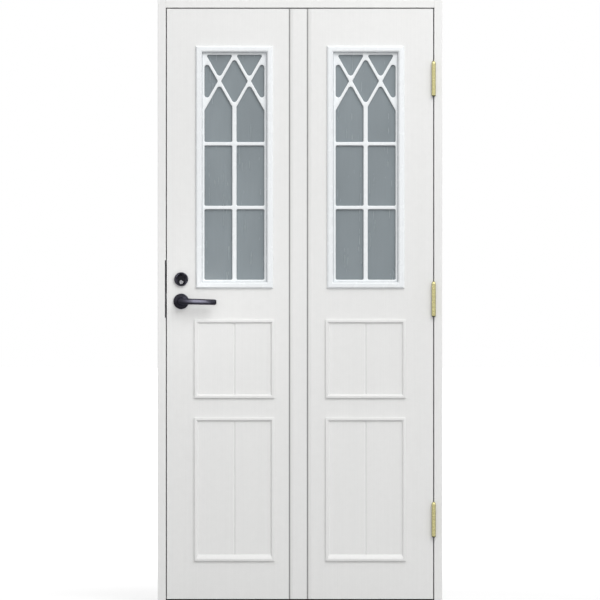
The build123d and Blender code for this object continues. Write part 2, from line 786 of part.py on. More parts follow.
def lower_moulding():
    """The raised border round a lower panel, with a sloped sill that sheds water."""
    border = mitred_border(PANEL_WIDTH, LOWER_PANEL_HEIGHT, moulding_section())
    reach = PANEL_WIDTH / 2 - MOULDING_WIDTH / 2
    foot = -LOWER_PANEL_HEIGHT / 2
    points = [
        (foot + MOULDING_ROUND, 0),
        (foot + MOULDING_ROUND, MOULDING_HEIGHT - MOULDING_ROUND),
        (foot + MOULDING_CROWN, MOULDING_HEIGHT),
        (foot + LOWER_SILL_WIDTH, MOULDING_TOE),
        (foot + LOWER_SILL_WIDTH, 0),
    ]
    plane = Plane(origin=(-reach, 0, 0), x_dir=(0, 1, 0), z_dir=(1, 0, 0))
    sill = extrude(plane * Polygon(*points, align=None), amount=2 * reach, dir=(1, 0, 0))
    return border + sill


# Windows


def bead_section(leg):
    """A raised glazing bead that laps the skin, with a leg into the opening."""
    shelf = WINDOW_LAP + SEAT_FIT
    points = [
        (0, 0),
        (shelf, 0),
        (shelf, -leg),
        (BEAD_WIDTH, -leg),
        (BEAD_WIDTH, BEAD_HEIGHT - BEAD_FALL),
        (BEAD_WIDTH - BEAD_SLOPE, BEAD_HEIGHT),
        (BEAD_CROWN, BEAD_HEIGHT),
        (0, BEAD_HEIGHT - BEAD_CROWN),
    ]
    return rounded_corners(Polygon(*points, align=None), BEAD_CROWN / 2, points[5], points[6])


def glazing_frame_outside(side):
    """The raised frame that shows outside and bears on the outer pane."""
    border = mitred_border(WINDOW_WIDTH, WINDOW_HEIGHT, bead_section(PANE_SETBACK))
    return outside_face(border, side * FIELD_CENTRE, WINDOW_MIDDLE)


def glazing_frame_inside(side):
    """The raised frame of the room side, which clamps the glass unit."""
    border = mitred_border(WINDOW_WIDTH, WINDOW_HEIGHT, bead_section(LEAF_IN - UNIT_IN))
    return inside_face(border, side * FIELD_CENTRE, WINDOW_MIDDLE)


def pane(side, y_from):
    """One sheet of glass."""
    sheet = flat(Rectangle(PANE_WIDTH, PANE_HEIGHT), y_from, y_from + PANE)
    return Pos(side * FIELD_CENTRE, 0, WINDOW_MIDDLE) * sheet


def spacer(side):
    """The bar round the edge of the glass unit, as one closed border."""
    outline = bordered(PANE_WIDTH - 2 * SPACER_INSET, PANE_HEIGHT - 2 * SPACER_INSET, SPACER_WIDTH)
    border = flat(outline, PANE_OUT + PANE, PANE_OUT + PANE + PANE_SPACE)
    return Pos(side * FIELD_CENTRE, 0, WINDOW_MIDDLE) * border


def strap(start, end, width):
    """A straight bar of the lattice, drawn between two points."""
    middle = ((start[0] + end[0]) / 2, (start[1] + end[1]) / 2)
    length = math.dist(start, end)
    angle = math.degrees(math.atan2(end[1] - start[1], end[0] - start[0]))
    return Pos(*middle) * Rot(0, 0, angle) * Rectangle(length, width)


def lattice_sketch():
    """Two crossed arches over a grid, cut from one sheet with rounded corners."""
    outer_width = SIGHT_WIDTH - 2 * SEAT_FIT
    outer_height = SIGHT_HEIGHT - 2 * SEAT_FIT
    half_width = outer_width / 2 - LATTICE_BORDER
    half_height = outer_height / 2 - LATTICE_BORDER
    spring = half_height - ARCH_HEIGHT
    slope = ARCH_HEIGHT / half_width
    crotch = spring + DIAGONAL_WIDTH / 2 * math.hypot(1, slope)
    bars = [strap((0, -outer_height / 2), (0, crotch - SEAT_FIT), MUNTIN_WIDTH)]
    for drop in (FIRST_BAR_DROP, SECOND_BAR_DROP):
        level = half_height - drop
        bars.append(strap((-outer_width / 2, level), (outer_width / 2, level), CROSSBAR_WIDTH))
    rise = DIAGONAL_WIDTH * slope
    for near in (-half_width, 0):
        far = near + half_width
        for foot, head in ((near, far), (far, near)):
            step = math.copysign(DIAGONAL_WIDTH, head - foot)
            below = 0 if foot == 0 else 1
            start = (foot - below * step, spring - below * rise)
            bars.append(strap(start, (head + step, half_height + rise), DIAGONAL_WIDTH))
    light = Rectangle(2 * half_width, 2 * half_height) - bars
    cells = [fillet(cell.vertices(), radius=LATTICE_CORNER) for cell in light.faces()]
    return Rectangle(outer_width, outer_height) - cells


def lattice(side):
    """The one-piece lattice that stands on the outer pane."""
    sheet = extrude(lattice_sketch(), amount=LATTICE_THICKNESS, dir=(0, 0, 1))
    front = sheet.faces().sort_by(Axis.Z)[-1]
    sheet = chamfer(front.edges(), length=LATTICE_CHAMFER)
    return outside_face(Pos(0, 0, -PANE_SETBACK) * sheet, side * FIELD_CENTRE, WINDOW_MIDDLE)


# Lock


def forend_block():
    """The lock's edge plate, flush in the leaf's edge."""
    half = FOREND_LENGTH / 2
    y_from = LEAF_MID - FOREND_WIDTH / 2
    y_to = y_from + FOREND_WIDTH
    return block(-LEAF_X, FOREND_THICKNESS - LEAF_X, y_from, y_to, FOREND_MIDDLE - half, FOREND_MIDDLE + half)


def case_block():
    """The outer block of the lock case behind the forend."""
    return block(-LEAF_X, CASE_DEPTH - LEAF_X, CASE_OUT, CASE_IN, CASE_BOTTOM, CASE_TOP)


def forend_screw_heights():
    """Heights of the two screws that hold the lock in the leaf."""
    reach = FOREND_LENGTH / 2 - FOREND_SCREW_INSET
    return (FOREND_MIDDLE - reach, FOREND_MIDDLE + reach)


def against_forend(piece, z):
    """Turns a screw or its hole to go through the forend."""
    return Plane(origin=(-LEAF_X, LEAF_MID, z), x_dir=(0, 1, 0), z_dir=(1, 0, 0)) * piece


def bolt_hole(height, middle):
    """The hole in the forend for a bolt."""
    half = height / 2 + BOLT_PLAY
    return block(-LEAF_X, FOREND_THICKNESS - LEAF_X, CAVITY_OUT, CAVITY_IN, middle - half, middle + half)


def lock_case():
    """The folded case and its forend, hollow for the bolts and their works."""
    piece = case_block() + forend_block()
    piece -= block(
        FOREND_THICKNESS - LEAF_X,
        CASE_DEPTH - CASE_WALL - LEAF_X,
        CAVITY_OUT,
        CAVITY_IN,
        CASE_BOTTOM + CASE_WALL,
        CASE_TOP - CASE_WALL,
    )
    piece -= bolt_hole(LATCH_HEIGHT, LATCH_Z)
    piece -= bolt_hole(DEADBOLT_HEIGHT, DEADBOLT_Z)
    piece -= rod_y(FOLLOWER_HUB / 2 + RUNNING_FIT, SPINDLE_X, SPINDLE_HEIGHT, CASE_OUT, CASE_IN)
    piece -= rod_y(CAM_HUB / 2 + RUNNING_FIT, SPINDLE_X, CYLINDER_HEIGHT, CASE_OUT, CASE_IN)
    for z in forend_screw_heights():
        piece -= against_forend(counterbore(FOREND_THICKNESS), z)
    return piece


def forend_screws():
    """The two screws through the forend."""
    return Compound(children=[against_forend(wood_screw(), z) for z in forend_screw_heights()])


def latch_bolt():
    """The sprung latch: a bevelled head, and a tail with a lug for the follower."""
    z_from = LATCH_Z - LATCH_HEIGHT / 2
    back = LATCH_LENGTH - LEAF_X
    tip = -LEAF_X - LATCH_REACH
    points = [
        (tip, BOLT_OUT),
        (back, BOLT_OUT),
        (back, BOLT_IN),
        (-LEAF_X - LATCH_SHOULDER, BOLT_IN),
        (tip, BOLT_OUT + BOLT_TAIL),
    ]
    head = upright(points, z_from, z_from + LATCH_HEIGHT)
    tail_half = FOLLOWER_ARM_TIP
    lug_from = SPINDLE_X + FOLLOWER_ARM_TIP / 2 + FOLLOWER_CLEARANCE
    lug_to = lug_from + BOLT_TAIL
    tail_from = SPINDLE_HEIGHT + FOLLOWER_HUB / 2 + WORKS_GAP
    tail = block(back, lug_to, TAIL_OUT, TAIL_IN, tail_from, LATCH_Z + tail_half)
    lug = block(lug_from, lug_to, BOLT_OUT, TAIL_IN, tail_from, LATCH_Z + tail_half)
    return head + tail + lug


def deadbolt():
    """The deadbolt: a square head, and a tail with a notch for the cam."""
    front = -LEAF_X
    back = front + DEADBOLT_LENGTH
    half = DEADBOLT_HEIGHT / 2
    head = block(front, back, BOLT_OUT, BOLT_IN, DEADBOLT_Z - half, DEADBOLT_Z + half)
    notch = SPINDLE_X + DEADBOLT_THROW / 2
    gap = CAM_TIP / 2 + CAM_PLAY
    tail_from = CYLINDER_HEIGHT + CAM_HUB / 2 + SEAT_FIT
    tail_to = CYLINDER_HEIGHT + CAM_REACH + CAM_TIP / 2 + WORKS_GAP
    lug_from = CYLINDER_HEIGHT + CAM_LUG_RISE
    tail = block(back, notch + gap + BOLT_TAIL, TAIL_OUT, TAIL_IN, tail_from, tail_to)
    lug_near = block(notch - gap - BOLT_TAIL, notch - gap, BOLT_OUT, TAIL_IN, lug_from, tail_to)
    lug_far = block(notch + gap, notch + gap + BOLT_TAIL, BOLT_OUT, TAIL_IN, lug_from, tail_to)
    return head + tail + lug_near + lug_far


def rounded_arm(reach, root_width, tip):
    """A flat arm that points up from the origin and ends round."""
    arm = Polygon((-root_width / 2, 0), (root_width / 2, 0), (root_width / 2, reach), (-root_width / 2, reach))
    return arm + Pos(0, reach) * Circle(tip / 2)


def square_hole(size, x, z, y_from, y_to):
    """A square hole across the leaf."""
    return flat(Pos(x, z) * Rectangle(size, size), y_from, y_to)


def latch_follower():
    """The follower on the spindle, whose arm draws the latch back."""
    hub = rod_y(FOLLOWER_HUB / 2, SPINDLE_X, SPINDLE_HEIGHT, CASE_OUT, CASE_IN)
    arm = rounded_arm(LATCH_RISE, FOLLOWER_ARM_TIP, FOLLOWER_ARM_TIP)
    arm = flat(Pos(SPINDLE_X, SPINDLE_HEIGHT) * arm, ARM_OUT, ARM_IN)
    hole = square_hole(SPINDLE + 2 * RUNNING_FIT, SPINDLE_X, SPINDLE_HEIGHT, CASE_OUT, CASE_IN)
    return hub + arm - hole


def spindle():
    """The square bar that joins the two levers."""
    y_from = LEAF_OUT - LEVER_STANDOFF + SPINDLE_ENGAGEMENT
    y_to = LEAF_IN + LEVER_STANDOFF - SPINDLE_ENGAGEMENT
    return square_hole(SPINDLE, SPINDLE_X, SPINDLE_HEIGHT, y_from, y_to)


def bolt_cam():
    """The cam that the thumbturn and the key turn, at rest towards the right."""
    hub = rod_y(CAM_HUB / 2, SPINDLE_X, CYLINDER_HEIGHT, CASE_OUT, CASE_IN)
    arm = Rot(0, 0, -CAM_REST_ANGLE) * rounded_arm(CAM_REACH, CAM_ARM, CAM_TIP)
    arm = flat(Pos(SPINDLE_X, CYLINDER_HEIGHT) * arm, ARM_OUT, ARM_IN)
    hole = square_hole(TURN_SHAFT + 2 * RUNNING_FIT, SPINDLE_X, CYLINDER_HEIGHT, CASE_OUT, CASE_IN)
    return hub + arm - hole


# Lever handles


def rose(neck):
    """A round cover plate with a bearing hole in the middle."""
    inner = neck / 2 + RUNNING_FIT
    disc = Rectangle(ROSE / 2 - inner, ROSE_THICKNESS, align=(Align.MIN, Align.MIN))
    disc = Pos(inner, 0) * disc
    edge = disc.vertices().sort_by(Axis.X)[-2:].sort_by(Axis.Y)[-1]
    return revolve(Plane.XZ * chamfer(edge, length=ROSE_BEVEL), axis=Axis.Z)


def lever():
    """A neck through the rose and a flat grip that runs to a squarish end with rounded corners."""
    outline = Circle(LEVER_HUB / 2 - LEVER_ROUND / 2).edges()
    for rise in (-1, 1):
        height = rise * (LEVER_TIP_HEIGHT / 2 - LEVER_CORNER) - LEVER_DROP
        outline += (Pos(LEVER_REACH - LEVER_CORNER, height) * Circle(LEVER_CORNER)).edges()
    grip = extrude(Pos(0, 0, LEVER_STANDOFF) * make_hull(outline), amount=LEVER_GRIP, dir=(0, 0, 1))
    grip = fillet(grip.edges().group_by(Axis.Z)[-1], radius=LEVER_ROUND)
    points = [
        (0, LEVER_LIFT),
        (LEVER_NECK / 2, LEVER_LIFT),
        (LEVER_NECK / 2, LEVER_STANDOFF - LEVER_ROUND),
        (LEVER_HUB / 2 - LEVER_ROUND / 2, LEVER_STANDOFF),
        (0, LEVER_STANDOFF),
    ]
    neck = revolve(Plane.XZ * Polygon(*points, align=None), axis=Axis.Z)
    socket = Rectangle(SPINDLE + 2 * RUNNING_FIT, SPINDLE + 2 * RUNNING_FIT)
    socket = extrude(socket, amount=LEVER_STANDOFF - SPINDLE_ENGAGEMENT + RUNNING_FIT, dir=(0, 0, 1))
    return neck + grip - socket


# Cylinder and thumbturn


def cylinder_oval(radius, lower, upper):
    """An upright oval of one end radius, between the heights of its two centres."""
    middle = Pos(0, (lower + upper) / 2)
    return middle * SlotCenterToCenter(upper - lower, 2 * radius, rotation=90)


def cylinder_outline(radius):
    """The cylinder's own outline in the leaf, from the plug's axis to its second centre."""
    return Pos(SPINDLE_X, 0) * cylinder_oval(radius, CYLINDER_HEIGHT, CYLINDER_HEIGHT + CYLINDER_OVAL_RISE)


def cylinder_ring():
    """The round security rose, its oval mouth flared to the sides and the top down to the cylinder's face."""
    disc = extrude(Circle(CYLINDER_RING / 2), amount=CYLINDER_RING_THICKNESS, dir=(0, 0, 1))
    disc = chamfer(disc.edges().group_by(Axis.Z)[-1], length=ROSE_BEVEL)
    hole = CYLINDER_WIDTH / 2 + SEAT_FIT
    lower = -CYLINDER_RING_RISE
    upper = lower + CYLINDER_OVAL_RISE
    through = cylinder_oval(hole, lower, upper)
    face = CYLINDER_RING_THICKNESS - CYLINDER_RECESS
    mouth = cylinder_oval(hole + RING_FLARE, lower + RING_FLARE, upper)
    flare = loft([Pos(0, 0, face) * through, Pos(0, 0, CYLINDER_RING_THICKNESS) * mouth])
    return outside_face(disc - extrude(through, amount=face, dir=(0, 0, 1)) - flare, SPINDLE_X, RING_Z)


def cylinder_body():
    """The oval cylinder, from its face inside the rose to the lock case."""
    y_from = LEAF_OUT - CYLINDER_RING_THICKNESS + CYLINDER_RECESS
    body = flat(cylinder_outline(CYLINDER_WIDTH / 2), y_from, CASE_OUT)
    return body - rod_y(PLUG / 2 + RUNNING_FIT, SPINDLE_X, CYLINDER_HEIGHT, y_from, CASE_OUT)


def key_plug():
    """The turning plug with its keyway, and the square tailpiece into the cam."""
    y_from = LEAF_OUT - CYLINDER_RING_THICKNESS + CYLINDER_RECESS - PLUG_PROUD
    plug = rod_y(PLUG / 2, SPINDLE_X, CYLINDER_HEIGHT, y_from, CASE_OUT - SEAT_FIT)
    keyway = Pos(SPINDLE_X, CYLINDER_HEIGHT) * Rectangle(KEYWAY_WIDTH, KEYWAY_HEIGHT)
    plug -= flat(keyway, y_from, y_from + KEYWAY_DEPTH)
    return plug + square_hole(TURN_SHAFT, SPINDLE_X, CYLINDER_HEIGHT, CASE_OUT - SEAT_FIT, LEAF_MID)


def thumbturn():
    """The inside knob: a wing on a round stem, and a square shaft to the cam."""
    wing = SlotOverall(TURN_WING_LENGTH, TURN_WING_WIDTH, rotation=90)
    foot = ROSE_THICKNESS + SEAT_FIT
    wing = extrude(Pos(0, 0, foot) * wing, amount=TURN_WING_HEIGHT, dir=(0, 0, 1))
    wing = fillet(wing.edges().group_by(Axis.Z)[-1], radius=LEVER_ROUND)
    stem = extrude(Pos(0, 0, LEVER_LIFT) * Circle(TURN_STEM / 2), amount=foot, dir=(0, 0, 1))
    shaft = Rectangle(TURN_SHAFT, TURN_SHAFT)
    shaft = extrude(Pos(0, 0, LEAF_MID - LEAF_IN) * shaft, amount=LEAF_IN - LEAF_MID + foot, dir=(0, 0, 1))
    return inside_face(wing + stem + shaft, SPINDLE_X, CYLINDER_HEIGHT)


# The parts, by name

parts = {
    "frame_head": frame_head(),
    "frame_jamb_lock": frame_jamb_lock(),
    "frame_jamb_hinge": frame_jamb_hinge(),
    "threshold": threshold(),
    "threshold_cover": threshold_cover(),
    "frame_seal": frame_seal(),
    "strike_plate": strike_plate(),
    "strike_screws": strike_screws(),
    "hinge_pins": hinge_pins(),
    "hinge_screws_frame": hinge_screws(1),
    "hinge_screws_leaf": hinge_screws(-1),
    "outer_skin": outer_skin(),
    "inner_skin": inner_skin(),
    "stile_lock": stile_lock(),
    "stile_hinge": stile_hinge(),
    "rail_top": rail_top(),
    "rail_bottom": rail_bottom(),
    "insulation_core": insulation_core(),
    "lock_case": lock_case(),
    "forend_screws": forend_screws(),
    "latch_bolt": latch_bolt(),
    "deadbolt": deadbolt(),
    "latch_follower": latch_follower(),
    "spindle": spindle(),
    "bolt_cam": bolt_cam(),
    "rose_outside": outside_face(rose(LEVER_NECK), SPINDLE_X, SPINDLE_HEIGHT),
    "rose_inside": inside_face(rose(LEVER_NECK), SPINDLE_X, SPINDLE_HEIGHT),
    "lever_outside": outside_face(lever(), SPINDLE_X, SPINDLE_HEIGHT),
    "lever_inside": inside_face(lever(), SPINDLE_X, SPINDLE_HEIGHT),
    "cylinder_ring": cylinder_ring(),
    "cylinder_body": cylinder_body(),
    "key_plug": key_plug(),
    "thumbturn_rose": inside_face(rose(TURN_STEM), SPINDLE_X, CYLINDER_HEIGHT),
    "thumbturn": thumbturn(),
}

for place, height in HINGE_HEIGHTS.items():
    parts[f"hinge_frame_half_{place}"] = hinge_half(1, height)
    parts[f"hinge_leaf_half_{place}"] = hinge_half(-1, height)

for name, side in SIDES.items():
    centre = side * FIELD_CENTRE
    parts[f"moulding_upper_{name}"] = outside_face(upper_moulding(), centre, UPPER_PANEL_MIDDLE)
    parts[f"moulding_lower_{name}"] = outside_face(lower_moulding(), centre, LOWER_PANEL_MIDDLE)
    parts[f"moulding_upper_{name}_inside"] = inside_face(upper_moulding(), centre, UPPER_PANEL_MIDDLE)
    parts[f"moulding_lower_{name}_inside"] = inside_face(lower_moulding(), centre, LOWER_PANEL_MIDDLE)
    parts[f"glazing_frame_outside_{name}"] = glazing_frame_outside(side)
    parts[f"glazing_frame_inside_{name}"] = glazing_frame_inside(side)
    parts[f"lattice_{name}"] = lattice(side)
    parts[f"glass_outer_{name}"] = pane(side, PANE_OUT)
    parts[f"glass_inner_{name}"] = pane(side, PANE_OUT + PANE + PANE_SPACE)
    parts[f"glass_spacer_{name}"] = spacer(side)

for name, shape in parts.items():
    export_step(shape, f"parts/{name}.step")
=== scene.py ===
"""Outward-opening front door in its frame, dressed for a studio photograph."""

import json
import logging
import math
from dataclasses import dataclass
from enum import Enum
from typing import Iterable, Iterator, Sequence

import bmesh
import bpy
from mathutils import Vector
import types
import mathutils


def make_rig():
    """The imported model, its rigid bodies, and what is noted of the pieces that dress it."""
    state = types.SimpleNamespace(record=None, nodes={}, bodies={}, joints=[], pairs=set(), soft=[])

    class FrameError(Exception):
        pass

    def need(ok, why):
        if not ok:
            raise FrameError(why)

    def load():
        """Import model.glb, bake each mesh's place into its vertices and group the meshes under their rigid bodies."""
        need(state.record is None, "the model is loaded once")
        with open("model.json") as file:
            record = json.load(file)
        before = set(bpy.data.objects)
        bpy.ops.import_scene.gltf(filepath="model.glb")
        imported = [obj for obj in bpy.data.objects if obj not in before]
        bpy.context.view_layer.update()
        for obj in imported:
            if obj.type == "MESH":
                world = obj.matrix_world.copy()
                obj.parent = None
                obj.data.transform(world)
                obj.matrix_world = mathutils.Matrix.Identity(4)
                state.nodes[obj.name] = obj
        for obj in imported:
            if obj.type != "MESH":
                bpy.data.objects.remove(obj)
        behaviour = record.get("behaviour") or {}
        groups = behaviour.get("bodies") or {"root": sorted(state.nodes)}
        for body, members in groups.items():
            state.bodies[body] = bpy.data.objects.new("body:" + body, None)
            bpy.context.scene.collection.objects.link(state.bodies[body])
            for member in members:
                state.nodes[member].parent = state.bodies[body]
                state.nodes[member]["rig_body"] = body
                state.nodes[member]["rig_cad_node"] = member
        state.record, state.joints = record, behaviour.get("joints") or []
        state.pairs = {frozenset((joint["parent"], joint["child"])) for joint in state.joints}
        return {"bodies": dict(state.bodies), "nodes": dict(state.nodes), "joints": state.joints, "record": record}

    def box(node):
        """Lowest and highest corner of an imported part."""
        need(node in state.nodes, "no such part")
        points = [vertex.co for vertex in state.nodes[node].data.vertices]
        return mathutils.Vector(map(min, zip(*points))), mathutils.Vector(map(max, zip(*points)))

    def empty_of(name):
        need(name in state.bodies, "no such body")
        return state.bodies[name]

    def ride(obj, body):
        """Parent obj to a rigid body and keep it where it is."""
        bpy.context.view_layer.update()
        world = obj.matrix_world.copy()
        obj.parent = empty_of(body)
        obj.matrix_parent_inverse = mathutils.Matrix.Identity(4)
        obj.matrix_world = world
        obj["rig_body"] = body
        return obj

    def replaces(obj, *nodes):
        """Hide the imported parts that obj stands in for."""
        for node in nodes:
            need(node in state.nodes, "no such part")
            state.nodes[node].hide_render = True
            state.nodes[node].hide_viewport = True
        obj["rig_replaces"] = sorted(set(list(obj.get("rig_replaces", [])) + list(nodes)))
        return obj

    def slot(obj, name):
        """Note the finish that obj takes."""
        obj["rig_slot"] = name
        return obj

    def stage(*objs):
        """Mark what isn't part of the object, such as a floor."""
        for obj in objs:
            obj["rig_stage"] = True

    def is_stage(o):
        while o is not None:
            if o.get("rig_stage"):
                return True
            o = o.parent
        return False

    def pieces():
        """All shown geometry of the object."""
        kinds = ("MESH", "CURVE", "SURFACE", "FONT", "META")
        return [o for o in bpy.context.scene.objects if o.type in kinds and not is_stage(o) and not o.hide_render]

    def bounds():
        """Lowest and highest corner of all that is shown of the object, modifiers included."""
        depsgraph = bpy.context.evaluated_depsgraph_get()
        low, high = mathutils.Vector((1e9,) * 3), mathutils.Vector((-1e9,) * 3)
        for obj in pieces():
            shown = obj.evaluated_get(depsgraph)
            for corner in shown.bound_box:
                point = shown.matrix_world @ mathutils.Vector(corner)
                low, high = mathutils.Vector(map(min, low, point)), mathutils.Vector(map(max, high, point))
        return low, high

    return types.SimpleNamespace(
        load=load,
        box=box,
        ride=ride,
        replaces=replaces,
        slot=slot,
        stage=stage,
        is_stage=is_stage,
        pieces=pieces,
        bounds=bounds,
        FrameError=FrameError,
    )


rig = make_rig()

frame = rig.load()

LOG = logging.getLogger("front_door")

SIZE_FILE = "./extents.json"

Point = tuple[float, float, float]
Range = tuple[float, float]
Rgb = tuple[int, int, int]
Rgba = tuple[float, float, float, float]

WHITE: Rgba = (1.0, 1.0, 1.0, 1.0)
NOISE_MIDDLE: Range = (0.3, 0.7)


class Body(Enum):
    """The rigid bodies that the pieces ride on."""

    FRAME = "frame"
    LEAF = "leaf"
    LEVER = "lever"
    TURN = "turn"


class Slot(Enum):
    """The material slots of the part."""

    FRAME_PAINT = "frame_paint"
    OAK = "oak"
    ALUMINIUM = "aluminium"
    RUBBER = "rubber"
    DARK_STEEL = "dark_steel"
    BRIGHT_STEEL = "bright_steel"
    BRASS = "brass"
    LEAF_PAINT = "leaf_paint"
    LEAF_WOOD = "leaf_wood"
    FOAM = "foam"
    WHITE_PLASTIC = "white_plastic"
    GLASS = "glass"
    BLACK_METAL = "black_metal"
    CYLINDER_BRASS = "cylinder_brass"


class Side(Enum):
    """The two halves of the leaf, by the sign of X."""

    LEFT = -1
    RIGHT = 1

    @property
    def label(self) -> str:
        """The side's word in the nodes' names."""
        return self.name.lower()


def linear(colour: Rgb) -> Rgba:
    """Turns an 8-bit display colour into the linear one that shaders take.

    Args:
        colour: Red, green and blue from 0 to 255.

    Returns:
        The linear colour, opaque.
    """
    values = [channel / 255 for channel in colour]
    curved = [v / 12.92 if v <= 0.04045 else ((v + 0.055) / 1.055) ** 2.4 for v in values]
    return (*curved, 1.0)


# Node trees


class Graph:
    """A node tree under construction."""

    def __init__(self, tree: bpy.types.NodeTree) -> None:
        """Starts from an empty tree."""
        self.tree = tree
        self.tree.nodes.clear()

    def add(self, kind: str, inputs: dict | None = None, **settings: object) -> bpy.types.Node:
        """Adds a node.

        Args:
            kind: The node's type name.
            inputs: Values or output sockets for its inputs, by name or number.
            settings: The node's own properties.

        Returns:
            The new node.
        """
        node = self.tree.nodes.new(kind)
        for name, value in settings.items():
            setattr(node, name, value)
        for name, value in (inputs or {}).items():
            self.feed(node.inputs[name], value)
        return node

    def feed(self, socket: bpy.types.NodeSocket, value: object) -> None:
        """Links an output to a socket, or sets the socket's own value.

        Args:
            socket: The input to feed.
            value: An output socket or a plain value.
        """
        if isinstance(value, bpy.types.NodeSocket):
            self.tree.links.new(value, socket)
        else:
            socket.default_value = value

    def place(self) -> bpy.types.NodeSocket:
        """The point's place in the object's own frame, in metres."""
        return self.add("ShaderNodeTexCoord").outputs["Object"]

    def stretched(self, scale: Point) -> bpy.types.NodeSocket:
        """The object's coordinates, scaled along each axis."""
        node = self.add("ShaderNodeMapping", {"Vector": self.place(), "Scale": scale})
        return node.outputs["Vector"]

    def noise(self, scale: Point, detail: float = 3.0, rough: float = 0.5) -> bpy.types.NodeSocket:
        """Fractal noise, its cells set per metre along each axis."""
        inputs = {"Vector": self.stretched(scale), "Scale": 1.0, "Detail": detail, "Roughness": rough}
        return self.add("ShaderNodeTexNoise", inputs).outputs["Fac"]

    def ranged(self, value: bpy.types.NodeSocket, source: Range, target: Range) -> bpy.types.NodeSocket:
        """Maps one range onto another, held at its ends."""
        ends = {"From Min": source[0], "From Max": source[1], "To Min": target[0], "To Max": target[1]}
        return self.add("ShaderNodeMapRange", {"Value": value, **ends}).outputs["Result"]

    def spread(self, value: bpy.types.NodeSocket, low: float, high: float) -> bpy.types.NodeSocket:
        """Maps the middle of a noise onto a range."""
        return self.ranged(value, NOISE_MIDDLE, (low, high))

    def maths(self, operation: str, first: object, second: object) -> bpy.types.NodeSocket:
        """The result of one operation on two values."""
        return self.add("ShaderNodeMath", {0: first, 1: second}, operation=operation).outputs["Value"]

    def part_of(self, vector: bpy.types.NodeSocket, axis: str) -> bpy.types.NodeSocket:
        """One of a vector's three parts."""
        return self.add("ShaderNodeSeparateXYZ", {"Vector": vector}).outputs[axis]

    def mixed(
        self, share: object, first: object, second: object, blend: str = "MIX"
    ) -> bpy.types.NodeSocket:
        """Blends two colours.

        Args:
            share: How much of the second shows.
            first: The first colour.
            second: The second colour.
            blend: How they blend.

        Returns:
            The blended colour.
        """
        node = self.add("ShaderNodeMix", data_type="RGBA", blend_type=blend)
        self.feed(node.inputs["Factor"], share)
        self.feed(node.inputs[6], first)
        self.feed(node.inputs[7], second)
        return node.outputs[2]

    def bump(
        self, height: bpy.types.NodeSocket, depth: float, below: bpy.types.NodeSocket | None = None
    ) -> bpy.types.NodeSocket:
        """Turns a height into a surface normal, over one made before.

        Args:
            height: The height.
            depth: Its depth in metres.
            below: The normal that it lies over.

        Returns:
            The new normal.
        """
        inputs = {"Height": height, "Distance": depth, "Strength": 1.0}
        if below is not None:
            inputs["Normal"] = below
        return self.add("ShaderNodeBump", inputs).outputs["Normal"]


# Finishes


@dataclass(frozen=True)
class Finish:
    """A surface whose colour, roughness and relief all vary a little.

    Attributes:
        slot: The part's material slot that it stands for.
        colour: Display colour in plain light.
        roughness: Mean roughness.
        metallic: One for bare metal.
        shade: How much darker its darkest patches are.
        wear: How far roughness swings either way.
        grain: Noise cells per metre along each axis.
        relief: Depth of the grain in metres.
        coat: Weight of a clear coat.
        mark: A word that tells two finishes of one slot apart.
    """

    slot: Slot
    colour: Rgb
    roughness: float
    metallic: float = 0.0
    shade: float = 0.04
    wear: float = 0.06
    grain: Point = (60.0, 60.0, 60.0)
    relief: float = 0.00002
    coat: float = 0.0
    mark: str = ""

    @property
    def name(self) -> str:
        """The material's name."""
        return f"{self.slot.value}_{type(self).__name__.lower()}{self.mark}"

    def build(self) -> bpy.types.Material:
        """Makes the material.

        Returns:
            The new material.
        """
        material = bpy.data.materials.new(self.name)
        material.use_nodes = True
        graph = Graph(material.node_tree)
        shader = graph.add("ShaderNodeBsdfPrincipled")
        graph.feed(shader.inputs["Metallic"], self.metallic)
        graph.feed(shader.inputs["Coat Weight"], self.coat)
        self.dress(graph, shader)
        graph.add("ShaderNodeOutputMaterial", {"Surface": shader.outputs["BSDF"]})
        return material

    def dress(self, graph: Graph, shader: bpy.types.Node) -> None:
        """Feeds the shader's colour, roughness and normal.

        Args:
            graph: The material's node tree.
            shader: The shader to feed.
        """
        grain = graph.noise(self.grain)
        graph.feed(shader.inputs["Base Color"], graph.mixed(grain, self.darkest, linear(self.colour)))
        self.roughen(graph, shader, grain)
        graph.feed(shader.inputs["Normal"], graph.bump(grain, self.relief))

    @property
    def darkest(self) -> Rgba:
        """The colour of the darkest patches.

        Returns:
            The linear colour.
        """
        red, green, blue, alpha = linear(self.colour)
        left = 1 - self.shade
        return (red * left, green * left, blue * left, alpha)

    def roughen(self, graph: Graph, shader: bpy.types.Node, source: bpy.types.NodeSocket) -> None:
        """Lets the roughness swing with a noise."""
        rough = graph.spread(source, self.roughness - self.wear, self.roughness + self.wear)
        graph.feed(shader.inputs["Roughness"], rough)


